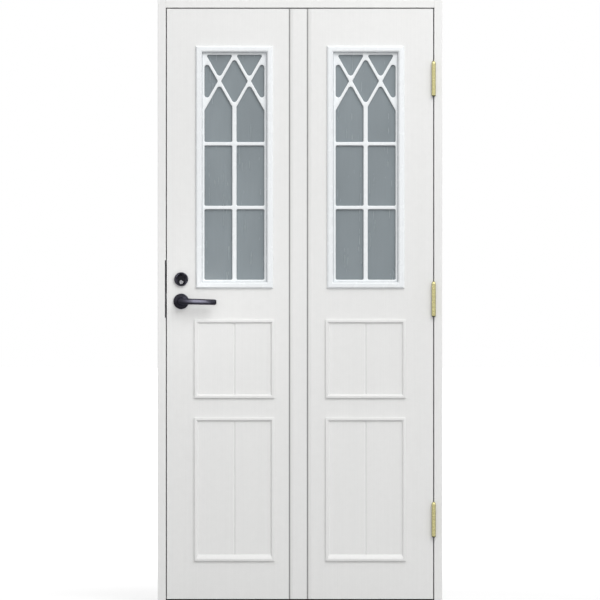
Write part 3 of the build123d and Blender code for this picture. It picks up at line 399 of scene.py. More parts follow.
@dataclass(frozen=True)
class SatinPaint(Finish):
    """Sprayed satin paint, with faint streaks along the wood and painted shade in its grooves.

    Attributes:
        streaks: Noise cells of the streaks per metre along each axis.
        streak_shade: How much darker a streak is.
        faces: Y of the two faces that grooves are cut into.
        dusty: Depths under a face over which the painted shade deepens.
        dust: How much the painted shade covers the paint at its deepest.
        dust_colour: The colour of the painted shade.
    """

    streaks: Point = (240.0, 240.0, 2.0)
    streak_shade: float = 0.02
    faces: Range = (-1.0, 1.0)
    dusty: Range = (0.0014, 0.0045)
    dust: float = 0.0
    dust_colour: Rgba = (0.03, 0.03, 0.03, 1.0)

    def dress(self, graph: Graph, shader: bpy.types.Node) -> None:
        """Adds the streaks to the plain grain, and paints shade into the grooves.

        Args:
            graph: The material's node tree.
            shader: The shader to feed.
        """
        grain = graph.noise(self.grain)
        streak = graph.noise(self.streaks, detail=2.0)
        patchy = graph.mixed(grain, self.darkest, linear(self.colour))
        tone = graph.spread(streak, 1 - self.streak_shade, 1.0)
        light = graph.add("ShaderNodeCombineColor", {"Red": tone, "Green": tone, "Blue": tone})
        paint = graph.mixed(1.0, patchy, light.outputs["Color"], "MULTIPLY")
        # painted shade: the paint darkens with depth inside its grooves
        if self.dust:
            paint = graph.mixed(self.depth_of_dust(graph), paint, self.dust_colour)
        graph.feed(shader.inputs["Base Color"], paint)
        self.roughen(graph, shader, grain)
        fine = graph.bump(streak, self.relief)
        graph.feed(shader.inputs["Normal"], graph.bump(grain, self.relief, fine))

    def depth_of_dust(self, graph: Graph) -> bpy.types.NodeSocket:
        """The share of painted shade, from the depth under the nearer face.

        Args:
            graph: The material's node tree.

        Returns:
            The share at each point.
        """
        place = graph.part_of(graph.place(), "Y")
        outer, inner = self.faces
        under = graph.maths("SUBTRACT", place, outer)
        depth = graph.maths("MINIMUM", under, graph.maths("SUBTRACT", inner, place))
        return graph.ranged(depth, self.dusty, (0.0, self.dust))


@dataclass(frozen=True)
class Brushed(Finish):
    """Metal whose fine lines run along one axis, with painted shade where it is seen at a slant and where it faces
    down.

    Attributes:
        lines: Noise cells of the lines per metre along each axis.
        slant: Colour of the painted shade where it is seen edge on.
        slant_share: How far that painted shade reaches towards the middle.
        under: How much of the painted shade shows where it faces down.
        falls: The normal's rise at which that painted shade starts and is full.
        tarnish: Colour of the painted shade where it faces down.
    """

    lines: Point = (40.0, 40.0, 2600.0)
    slant: Rgb = (120, 120, 124)
    slant_share: float = 0.35
    under: float = 0.0
    falls: Range = (-0.02, -0.4)
    tarnish: Rgba = (0.004, 0.004, 0.003, 1.0)

    def dress(self, graph: Graph, shader: bpy.types.Node) -> None:
        """Lays the brushed lines over slow darker patches, with painted shade at a slant and where it faces down.

        Args:
            graph: The material's node tree.
            shader: The shader to feed.
        """
        patch = graph.noise(self.grain)
        line = graph.noise(self.lines, detail=4.0)
        face = graph.mixed(patch, self.darkest, linear(self.colour))
        # painted shade: the slant colour is mixed in where the surface is seen edge on
        facing = graph.add("ShaderNodeLayerWeight", {"Blend": self.slant_share}).outputs["Facing"]
        edge_shaded = graph.mixed(facing, face, linear(self.slant))
        # painted shade: the surface darkens towards the underside colour where its normal points down
        rise = graph.part_of(graph.add("ShaderNodeNewGeometry").outputs["Normal"], "Z")
        below = graph.ranged(rise, self.falls, (0.0, self.under))
        graph.feed(shader.inputs["Base Color"], graph.mixed(below, edge_shaded, self.tarnish))
        self.roughen(graph, shader, line)
        graph.feed(shader.inputs["Normal"], graph.bump(line, self.relief))


@dataclass(frozen=True)
class BlackCoat(Finish):
    """Glossy black coating with a bluish sheen at a slant.

    Attributes:
        sheen: Tint of the sheen.
        coat_tint: Tint of the clear coat.
        coat_roughness: Roughness of the clear coat.
    """

    sheen: Rgb = (150, 150, 190)
    coat_tint: Rgb = (205, 205, 240)
    coat_roughness: float = 0.12

    def dress(self, graph: Graph, shader: bpy.types.Node) -> None:
        """Tints the coating where it is seen at a slant.

        Args:
            graph: The material's node tree.
            shader: The shader to feed.
        """
        super().dress(graph, shader)
        graph.feed(shader.inputs["Specular Tint"], linear(self.sheen))
        graph.feed(shader.inputs["Coat Roughness"], self.coat_roughness)
        graph.feed(shader.inputs["Coat Tint"], linear(self.coat_tint))


@dataclass(frozen=True)
class Oiled(Finish):
    """Oiled timber with long grain and growth rings.

    Attributes:
        rings: Scale of the growth rings.
        along: How the rings are drawn out along each axis.
        wander: How far the rings stray from straight.
        pores: Noise cells of the pores per metre along each axis.
        pore_share: The most that the pores darken the wood.
        dark: Colour of the late wood and of the pores.
    """

    rings: float = 90.0
    along: Point = (0.05, 1.0, 1.0)
    wander: float = 6.0
    pores: Point = (12.0, 900.0, 900.0)
    pore_share: float = 0.35
    dark: Rgb = (120, 82, 48)

    def dress(self, graph: Graph, shader: bpy.types.Node) -> None:
        """Bands the wood along X and adds its pores.

        Args:
            graph: The material's node tree.
            shader: The shader to feed.
        """
        wave = {"Vector": graph.stretched(self.along), "Scale": self.rings}
        wave |= {"Distortion": self.wander, "Detail": 3.0}
        rings = graph.add("ShaderNodeTexWave", wave, bands_direction="Y").outputs["Fac"]
        pores = graph.noise(self.pores, detail=4.0)
        wood = graph.mixed(rings, linear(self.dark), linear(self.colour))
        flecks = graph.spread(pores, 0.0, self.pore_share)
        graph.feed(shader.inputs["Base Color"], graph.mixed(flecks, wood, linear(self.dark)))
        self.roughen(graph, shader, pores)
        graph.feed(shader.inputs["Normal"], graph.bump(pores, self.relief))


@dataclass(frozen=True)
class CutFoam(Finish):
    """Open cells of a sawn foam board.

    Attributes:
        cells: Cells per metre.
    """

    cells: float = 700.0

    def dress(self, graph: Graph, shader: bpy.types.Node) -> None:
        """Pits the foam with its cells.

        Args:
            graph: The material's node tree.
            shader: The shader to feed.
        """
        super().dress(graph, shader)
        cells = graph.add("ShaderNodeTexVoronoi", {"Vector": graph.place(), "Scale": self.cells})
        graph.feed(shader.inputs["Normal"], graph.bump(cells.outputs["Distance"], self.relief))


@dataclass(frozen=True)
class ObscuredGlass(Finish):
    """Grey-blue rolled glass that lets little be seen through it.

    Attributes:
        clear: How much of the light passes.
        refraction: Index of refraction.
        streaks: Noise cells of the rolled streaks per metre along each axis.
        clouds: Noise cells of the slow patches per metre along each axis.
        streak_share: The most that a streak darkens the glass.
    """

    clear: float = 0.25
    refraction: float = 1.5
    streaks: Point = (160.0, 160.0, 9.0)
    clouds: Point = (7.0, 7.0, 3.0)
    streak_share: float = 0.3

    def dress(self, graph: Graph, shader: bpy.types.Node) -> None:
        """Draws the rolled streaks down the pane.

        Args:
            graph: The material's node tree.
            shader: The shader to feed.
        """
        streak = graph.noise(self.streaks, detail=3.0)
        cloud = graph.noise(self.clouds, detail=2.0)
        base = graph.mixed(graph.spread(cloud, 0.0, 1.0), self.darkest, linear(self.colour))
        streaky = graph.mixed(graph.spread(streak, 0.0, self.streak_share), base, self.darkest)
        graph.feed(shader.inputs["Base Color"], streaky)
        rough = graph.spread(streak, self.roughness, self.roughness + self.wear)
        graph.feed(shader.inputs["Roughness"], rough)
        graph.feed(shader.inputs["Normal"], graph.bump(streak, self.relief))
        graph.feed(shader.inputs["Transmission Weight"], self.clear)
        graph.feed(shader.inputs["IOR"], self.refraction)


LEAF_FACES: Range = (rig.box("outer_skin")[0][1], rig.box("inner_skin")[1][1])

FINISHES: dict[Slot, Finish] = {
    finish.slot: finish
    for finish in (
        SatinPaint(Slot.LEAF_PAINT, (233, 233, 232), 0.42, faces=LEAF_FACES, dust=0.65),
        SatinPaint(Slot.LEAF_WOOD, (230, 230, 228), 0.48),
        SatinPaint(Slot.FRAME_PAINT, (234, 234, 233), 0.40),
        Finish(Slot.WHITE_PLASTIC, (236, 239, 241), 0.26, shade=0.02, wear=0.04, grain=(35.0, 35.0, 35.0)),
        Finish(Slot.RUBBER, (196, 196, 192), 0.75, shade=0.10, grain=(300.0, 300.0, 40.0)),
        Brushed(
            Slot.DARK_STEEL, (74, 74, 78), 0.42, metallic=1.0, shade=0.35, wear=0.10, slant=(40, 40, 43)
        ),
        Brushed(Slot.BRIGHT_STEEL, (196, 197, 200), 0.30, metallic=1.0, shade=0.12, wear=0.08),
        Brushed(
            Slot.BRASS,
            (226, 218, 160),
            0.26,
            metallic=0.8,
            shade=0.14,
            wear=0.06,
            relief=0.000008,
            slant=(104, 100, 52),
            slant_share=0.4,
            under=0.9,
        ),
        Brushed(Slot.CYLINDER_BRASS, (158, 158, 161), 0.22, metallic=1.0, shade=0.10, wear=0.06),
        Brushed(
            Slot.ALUMINIUM, (204, 205, 207), 0.34, metallic=1.0, shade=0.08, lines=(2600.0, 40.0, 2600.0)
        ),
        BlackCoat(
            Slot.BLACK_METAL,
            (50, 49, 57),
            0.18,
            metallic=1.0,
            shade=0.25,
            wear=0.04,
            grain=(90.0, 90.0, 90.0),
            coat=0.3,
        ),
        Oiled(Slot.OAK, (186, 142, 92), 0.55, wear=0.10, relief=0.00006),
        CutFoam(Slot.FOAM, (222, 206, 150), 0.9, shade=0.15, wear=0.05, relief=0.0004),
        ObscuredGlass(Slot.GLASS, (154, 164, 169), 0.16, shade=0.16, wear=0.12, relief=0.00003),
    )
}

CYLINDER_FACE = Brushed(
    Slot.CYLINDER_BRASS, (38, 38, 42), 0.34, metallic=1.0, shade=0.3, slant=(70, 70, 76), mark="_dark"
)


class Paintbox:
    """Makes each finish's material once and hands it out."""

    def __init__(self) -> None:
        """Starts with no materials made."""
        self._made: dict[Finish, bpy.types.Material] = {}

    def material(self, finish: Finish) -> bpy.types.Material:
        """The material of a finish.

        Args:
            finish: The finish.

        Returns:
            Its one material.
        """
        if finish not in self._made:
            self._made[finish] = finish.build()
        return self._made[finish]

    def coat(self, obj: bpy.types.Object, finish: Finish) -> None:
        """Gives an object one material all over."""
        obj.data.materials.clear()
        obj.data.materials.append(self.material(finish))


# Shapes

WELD = 0.000002
SHARP = math.radians(32.0)


@dataclass(frozen=True)
class Box:
    """The bounds of a solid of the frame.

    Attributes:
        low: The corner with the smallest coordinates.
        high: The corner with the largest.
    """

    low: Vector
    high: Vector

    @classmethod
    def of(cls, node: str) -> "Box":
        """The bounds of one node."""
        low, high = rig.box(node)
        return cls(Vector(low), Vector(high))

    @property
    def middle(self) -> Vector:
        """The middle of the bounds."""
        return (self.low + self.high) / 2

    @property
    def size(self) -> Vector:
        """The lengths along each axis."""
        return self.high - self.low


@dataclass(frozen=True)
class Seat:
    """A place and three directions, in which a piece is drawn.

    Attributes:
        origin: The place.
        u: The first direction.
        v: The second direction.
        w: The third direction, out of the face that the piece stands on.
    """

    origin: Vector
    u: Vector
    v: Vector
    w: Vector

    def at(self, point: Sequence[float]) -> Vector:
        """The world's place of a point drawn in the seat."""
        return self.origin + self.u * point[0] + self.v * point[1] + self.w * point[2]

    @classmethod
    def on_face(cls, x: float, y: float, z: float, out: int) -> "Seat":
        """A seat on a face of the leaf: U right, V up, W out of the face."""
        return cls(Vector((x, y, z)), Vector((1, 0, 0)), Vector((0, 0, 1)), Vector((0, out, 0)))


@dataclass(frozen=True)
class Corner:
    """A corner of an outline, and how much it is rounded.

    Attributes:
        u: Its first coordinate.
        v: Its second coordinate.
        radius: Radius of its arc; zero keeps it sharp.
    """

    u: float
    v: float
    radius: float = 0.0


def rounded(corners: Sequence[Corner], steps: int = 6, closed: bool = True) -> list[Vector]:
    """Rounds an outline's corners with arcs.

    Args:
        corners: The corners in order.
        steps: Segments in each arc.
        closed: Whether the last corner joins the first.

    Returns:
        The outline's points.
    """
    points = []
    for index, corner in enumerate(corners):
        here = Vector((corner.u, corner.v))
        if corner.radius <= 0 or (not closed and index in (0, len(corners) - 1)):
            points.append(here)
            continue
        ahead = corners[(index + 1) % len(corners)]
        back = (Vector((corners[index - 1].u, corners[index - 1].v)) - here).normalized()
        front = (Vector((ahead.u, ahead.v)) - here).normalized()
        half = back.angle(front) / 2
        centre = here + (back + front).normalized() * (corner.radius / math.sin(half))
        start = here + back * (corner.radius / math.tan(half)) - centre
        finish = here + front * (corner.radius / math.tan(half)) - centre
        sweep = math.pi - 2 * half
        for step in range(steps + 1):
            share = step / steps
            first = math.sin((1 - share) * sweep) / math.sin(sweep)
            second = math.sin(share * sweep) / math.sin(sweep)
            points.append(centre + start * first + finish * second)
    return points


@dataclass(frozen=True)
class Disc:
    """A circle of an outline that is pulled tight round several.

    Attributes:
        u: First coordinate of its middle.
        v: Second coordinate of its middle.
        radius: Its radius.
    """

    u: float
    v: float
    radius: float


def pulled_round(
    discs: Sequence[Disc], inset: float = 0.0, steps: int = 14, straight: int = 0
) -> list[Vector]:
    """The outline of a cord pulled tight round discs that hold the origin.

    Args:
        discs: The discs, counter-clockwise.
        inset: How far the whole outline is drawn in.
        steps: Segments round each disc.
        straight: Segments of each straight run; none for as many as leave no wide gap
            as seen from the origin.

    Returns:
        The outline's points, with the same count for every inset.
    """
    widest = math.radians(6.0)
    leaves = []
    for index, disc in enumerate(discs):
        ahead = discs[(index + 1) % len(discs)]
        heading = math.atan2(ahead.v - disc.v, ahead.u - disc.u)
        apart = math.hypot(ahead.u - disc.u, ahead.v - disc.v)
        leaves.append(heading - math.acos((disc.radius - ahead.radius) / apart))
    points = []
    for index, disc in enumerate(discs):
        sweep = (leaves[index] - leaves[index - 1]) % math.tau
        for step in range(steps + 1):
            angle = leaves[index - 1] + sweep * step / steps
            reach = disc.radius - inset
            points.append(Vector((disc.u + reach * math.cos(angle), disc.v + reach * math.sin(angle))))
        ahead = discs[(index + 1) % len(discs)]
        way = Vector((math.cos(leaves[index]), math.sin(leaves[index])))
        start = Vector((disc.u, disc.v)) + way * disc.radius
        run = Vector((ahead.u, ahead.v)) + way * ahead.radius - start
        swing = Vector(start).angle_signed(start + run, 0.0)
        parts = straight or max(1, math.ceil(abs(swing) / widest))
        for part in range(1, parts):
            turn = math.atan2(start.y, start.x) - swing * part / parts
            ray = Vector((math.cos(turn), math.sin(turn)))
            share = -start.cross(ray) / run.cross(ray)
            points.append(start + run * share - way * inset)
    return points


def circle_under(outline: Iterable[Vector], radius: float) -> list[Vector]:
    """A circle with one point in the direction of each point of an outline."""
    return [point.normalized() * radius for point in outline]


def square_under(outline: Iterable[Vector], half: float) -> list[Vector]:
    """A square with one point in the direction of each point of an outline."""
    return [point * (half / max(abs(point.x), abs(point.y))) for point in outline]


def level(outline: Iterable[Vector], w: float) -> list[Point]:
    """Lifts a flat outline to a height."""
    return [(point.x, point.y, w) for point in outline]


def turned(profile: Iterable[Vector], steps: int = 64) -> list[list[Point]]:
    """The rings of a turned piece, from points of radius and height."""
    angles = [math.tau * index / steps for index in range(steps)]
    return [[(p.x * math.cos(a), p.x * math.sin(a), p.y) for a in angles] for p in profile]


def bordered(width: float, height: float, section: Sequence[Vector]) -> list[list[Point]]:
    """The four mitred rings of a section swept round a rectangle.

    Args:
        width: Outer width.
        height: Outer height.
        section: Points of distance inward and height.

    Returns:
        One ring for each corner.
    """
    corners = ((-1, -1), (1, -1), (1, 1), (-1, 1))
    return [[(s * (width / 2 - p.x), t * (height / 2 - p.x), p.y) for p in section] for s, t in corners]


def quarter_round(radius: float, steps: int = 6) -> Iterator[Range]:
    """The inset and the drop of each step of a rounded edge, from the side to the top.

    Args:
        radius: The edge's radius.
        steps: Segments of the arc.

    Yields:
        A pair for each step.
    """
    for step in range(steps + 1):
        angle = math.pi / 2 * step / steps
        yield radius * (1 - math.cos(angle)), radius * (1 - math.sin(angle))


def linked(name: str, data: bpy.types.ID) -> bpy.types.Object:
    """A new object in the scene, at the origin.

    Args:
        name: The object's name.
        data: Its mesh, light or camera.

    Returns:
        The new object.
    """
    made = bpy.data.objects.new(name, data)
    bpy.context.scene.collection.objects.link(made)
    return made


def closed_piece(name: str, shape: bmesh.types.BMesh, mesh: bpy.types.Mesh) -> bpy.types.Object:
    """Welds a shape, turns its faces outwards and makes its object.

    Args:
        name: The piece's name.
        shape: The shape, which is used up.
        mesh: The mesh that takes it.

    Returns:
        The new object.
    """
    bmesh.ops.remove_doubles(shape, verts=shape.verts, dist=WELD)
    bmesh.ops.recalc_face_normals(shape, faces=shape.faces)
    shape.to_mesh(mesh)
    shape.free()
    mesh.shade_smooth()
    mesh.set_sharp_from_angle(angle=SHARP)
    return linked(name, mesh)


class Shell:
    """A closed mesh under construction, drawn in a seat."""

    def __init__(self, seat: Seat) -> None:
        """Starts empty."""
        self._seat = seat
        self._mesh = bmesh.new()

    def loft(self, rings: Sequence[Sequence[Sequence[float]]], closed: bool = False) -> "Shell":
        """Skins rings of one length.

        Args:
            rings: Loops of points, in order.
            closed: Joins the last ring to the first; otherwise both ends get a cap.

        Returns:
            The shell itself.
        """
        loops = [[self._mesh.verts.new(self._seat.at(point)) for point in ring] for ring in rings]
        pairs = list(zip(loops, loops[1:]))
        if closed:
            pairs.append((loops[-1], loops[0]))
        else:
            self._mesh.faces.new(loops[0])
            self._mesh.faces.new(loops[-1])
        for first, second in pairs:
            for index, vertex in enumerate(first):
                ahead = (index + 1) % len(first)
                self._mesh.faces.new((vertex, first[ahead], second[ahead], second[index]))
        return self

    def piece(self, name: str) -> bpy.types.Object:
        """Closes the mesh and makes its object."""
        return closed_piece(name, self._mesh, bpy.data.meshes.new(name))


class Bench:
    """Finishes pieces and hands them to the frame."""

    def __init__(self, paintbox: Paintbox) -> None:
        """Keeps the materials and counts the pieces."""
        self.paintbox = paintbox
        self.count = 0

    def fit(
        self, piece: bpy.types.Object, body: Body, slot: Slot, *nodes: str, finish: Finish | None = None
    ) -> None:
        """Coats a piece, puts it on its body and takes away what it replaces.

        Args:
            piece: The finished piece, in place.
            body: The body that it moves with.
            slot: Its material slot.
            nodes: The nodes that it stands for.
            finish: A finish of its own, if it isn't the slot's.
        """
        self.paintbox.coat(piece, finish or FINISHES[slot])
        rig.ride(piece, body.value)
        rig.slot(piece, slot.value)
        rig.replaces(piece, *nodes)
        self.count += 1
        LOG.info("%s: %d faces on %s", piece.name, len(piece.data.polygons), body.value)


# Geometry node trees


class Pattern(Graph):
    """A geometry node group with named inputs."""

    def __init__(self, name: str, sockets: dict[str, str]) -> None:
        """Makes the group.

        Args:
            name: The group's name.
            sockets: The type of each input, by its name.
        """
        group = bpy.data.node_groups.new(name, "GeometryNodeTree")
        group.is_modifier = True
        super().__init__(group)
        face = group.interface
        face.new_socket("Geometry", in_out="INPUT", socket_type="NodeSocketGeometry")
        for socket, kind in sockets.items():
            face.new_socket(socket, in_out="INPUT", socket_type=kind)
        face.new_socket("Geometry", in_out="OUTPUT", socket_type="NodeSocketGeometry")
        self.given = self.add("NodeGroupInput").outputs

    def finish(self, shape: bpy.types.NodeSocket) -> None:
        """Ends the tree with real geometry in its material.

        Args:
            shape: The whole of the geometry.
        """
        real = self.add("GeometryNodeRealizeInstances", {"Geometry": shape}).outputs["Geometry"]
        inputs = {"Geometry": real, "Material": self.given["Material"]}
        coated = self.add("GeometryNodeSetMaterial", inputs).outputs["Geometry"]
        self.add("NodeGroupOutput", {"Geometry": coated})

    def vector(self, x: object = 0.0, y: object = 0.0, z: object = 0.0) -> bpy.types.NodeSocket:
        """A vector from its three parts."""
        return self.add("ShaderNodeCombineXYZ", {"X": x, "Y": y, "Z": z}).outputs["Vector"]

    def run(self, name: str, base: bpy.types.Mesh, values: dict[str, object]) -> bpy.types.Object:
        """Evaluates the group on a mesh once and keeps the result.

        Args:
            name: The name of the piece.
            base: The mesh that the group starts from.
            values: A value for each input, by its name.

        Returns:
            A new object with the evaluated mesh.
        """
        carrier = linked(f"{name}_base", base)
        modifier = carrier.modifiers.new("pattern", "NODES")
        modifier.node_group = self.tree
        for item in self.tree.interface.items_tree:
            if item.in_out == "INPUT" and item.name in values:
                modifier[item.identifier] = values[item.name]
        carrier.update_tag()
        ready = carrier.evaluated_get(bpy.context.evaluated_depsgraph_get())
        mesh = bpy.data.meshes.new_from_object(ready)
        mesh.name = name
        carrier.modifiers.clear()
        bpy.data.objects.remove(carrier)
        shape = bmesh.new()
        shape.from_mesh(mesh)
        return closed_piece(name, shape, mesh)


class LatticePattern(Pattern):
    """A sheet with rounded openings, from loops of edges drawn flat.

    The loops of the openings run counter-clockwise and the border's clockwise, so that
    each curve's normal points into the sheet.
    """

    CORNER = "corner"
    INWARD = "inward"
    CORNER_STEPS = 8
    EDGE_STEPS = 4

    def __init__(self) -> None:
        """Builds the tree."""
        sockets = {"Thickness": "NodeSocketFloat", "Edge Round": "NodeSocketFloat"}
        sockets |= {"Place": "NodeSocketVector", "Material": "NodeSocketMaterial"}
        super().__init__("lattice_sheet", sockets)
        self._thickness = self.given["Thickness"]
        self._edge = self.given["Edge Round"]
        loops = self._rounded_loops()
        self._inward = self._stored(self.INWARD, "FLOAT_VECTOR")
        join = self.add("GeometryNodeJoinGeometry")
        for part in (self._filled(loops), self._walls(loops), self._front(loops)):
            self.tree.links.new(part, join.inputs["Geometry"])
        sheet = join.outputs["Geometry"]
        sheet = self._transformed(sheet, "Rotation", (math.pi / 2, 0.0, 0.0))
        self.finish(self._transformed(sheet, "Translation", self.given["Place"]))

    def _stored(self, name: str, kind: str) -> bpy.types.NodeSocket:
        """A named attribute of the points."""
        node = self.add("GeometryNodeInputNamedAttribute", {"Name": name}, data_type=kind)
        return node.outputs["Attribute"]

    def _transformed(self, shape: bpy.types.NodeSocket, how: str, value: object) -> bpy.types.NodeSocket:
        """A shape that is turned or shifted."""
        return self.add("GeometryNodeTransform", {"Geometry": shape, how: value}).outputs["Geometry"]

    def _rounded_loops(self) -> bpy.types.NodeSocket:
        """The loops with round corners, each point knowing the way into the sheet.

        Returns:
            The loops as curves.
        """
        loops = self.add("GeometryNodeMeshToCurve", {"Mesh": self.given["Geometry"]}).outputs["Curve"]
        fillet = {"Curve": loops, "Count": self.CORNER_STEPS, "Radius": self._stored(self.CORNER, "FLOAT")}
        loops = self.add("GeometryNodeFilletCurve", fillet, mode="POLY").outputs["Curve"]
        loops = self.add("GeometryNodeSetCurveNormal", {"Curve": loops}, mode="Z_UP").outputs["Curve"]
        normal = self.add("GeometryNodeInputNormal").outputs["Normal"]
        store = {"Geometry": loops, "Name": self.INWARD, "Value": normal}
        kinds = {"data_type": "FLOAT_VECTOR", "domain": "POINT"}
        return self.add("GeometryNodeStoreNamedAttribute", store, **kinds).outputs["Geometry"]

    def _moved(self, reach: object, rise: object) -> bpy.types.NodeSocket:
        """An offset into the sheet and up.

        Args:
            reach: How far into the sheet.
            rise: How far up.

        Returns:
            The offset.
        """
        away = {0: self._inward, "Scale": reach}
        away = self.add("ShaderNodeVectorMath", away, operation="SCALE").outputs["Vector"]
        both = {0: away, 1: self.vector(z=rise)}
        return self.add("ShaderNodeVectorMath", both, operation="ADD").outputs["Vector"]

    def _filled(self, loops: bpy.types.NodeSocket) -> bpy.types.NodeSocket:
        """The flat face between the loops."""
        return self.add("GeometryNodeFillCurve", {"Curve": loops}, mode="TRIANGLES").outputs["Mesh"]

    def _walls(self, loops: bpy.types.NodeSocket) -> bpy.types.NodeSocket:
        """The openings' walls, straight and then rounded over.

        Args:
            loops: The rounded loops.

        Returns:
            The mesh of the walls.
        """
        moves = [self._moved(0.0, self.maths("SUBTRACT", self._thickness, self._edge))]
        angles = [math.pi / 2 * step / self.EDGE_STEPS for step in range(self.EDGE_STEPS + 1)]
        for low, high in zip(angles, angles[1:]):
            reach = self.maths("MULTIPLY", self._edge, math.cos(low) - math.cos(high))
            rise = self.maths("MULTIPLY", self._edge, math.sin(high) - math.sin(low))
            moves.append(self._moved(reach, rise))
        walls = self.add("GeometryNodeCurveToMesh", {"Curve": loops}).outputs["Mesh"]
        top: object = True
        for move in moves:
            extrude = {"Mesh": walls, "Selection": top, "Offset Scale": 0.0}
            grown = self.add("GeometryNodeExtrudeMesh", extrude, mode="EDGES")
            top = grown.outputs["Top"]
            inputs = {"Geometry": grown.outputs["Mesh"], "Selection": top, "Offset": move}
            walls = self.add("GeometryNodeSetPosition", inputs).outputs["Geometry"]
        return walls

    def _front(self, loops: bpy.types.NodeSocket) -> bpy.types.NodeSocket:
        """The front face, drawn in by the rounded edge.

        Args:
            loops: The rounded loops.

        Returns:
            The mesh of the face.
        """
        narrowed = {"Geometry": loops, "Offset": self._moved(self._edge, 0.0)}
        front = self.add("GeometryNodeSetPosition", narrowed).outputs["Geometry"]
        return self._transformed(self._filled(front), "Translation", self.vector(z=self._thickness))


class ScrewPattern(Pattern):
    """A screw on each point, each turned at random about its own axis."""

    def __init__(self) -> None:
        """Builds the tree."""
        sockets = {"Screw": "NodeSocketObject", "Facing": "NodeSocketVector"}
        sockets |= {"Seed": "NodeSocketInt", "Material": "NodeSocketMaterial"}
        super().__init__("screw_set", sockets)
        screw = self.add("GeometryNodeObjectInfo", {"Object": self.given["Screw"]}).outputs["Geometry"]
        points = self.add("GeometryNodeMeshToPoints", {"Mesh": self.given["Geometry"]}).outputs["Points"]
        inputs = {"Points": points, "Instance": screw, "Rotation": self.given["Facing"]}
        placed = self.add("GeometryNodeInstanceOnPoints", inputs).outputs["Instances"]
        spin = self.add("FunctionNodeRandomValue", {"Seed": self.given["Seed"]}, data_type="FLOAT")
        self.feed(spin.inputs[3], math.tau)
        turn = {"Instances": placed, "Rotation": self.vector(z=spin.outputs[1]), "Local Space": True}
        self.finish(self.add("GeometryNodeRotateInstances", turn).outputs["Instances"])


# Windows

Line = tuple[Vector, Vector]


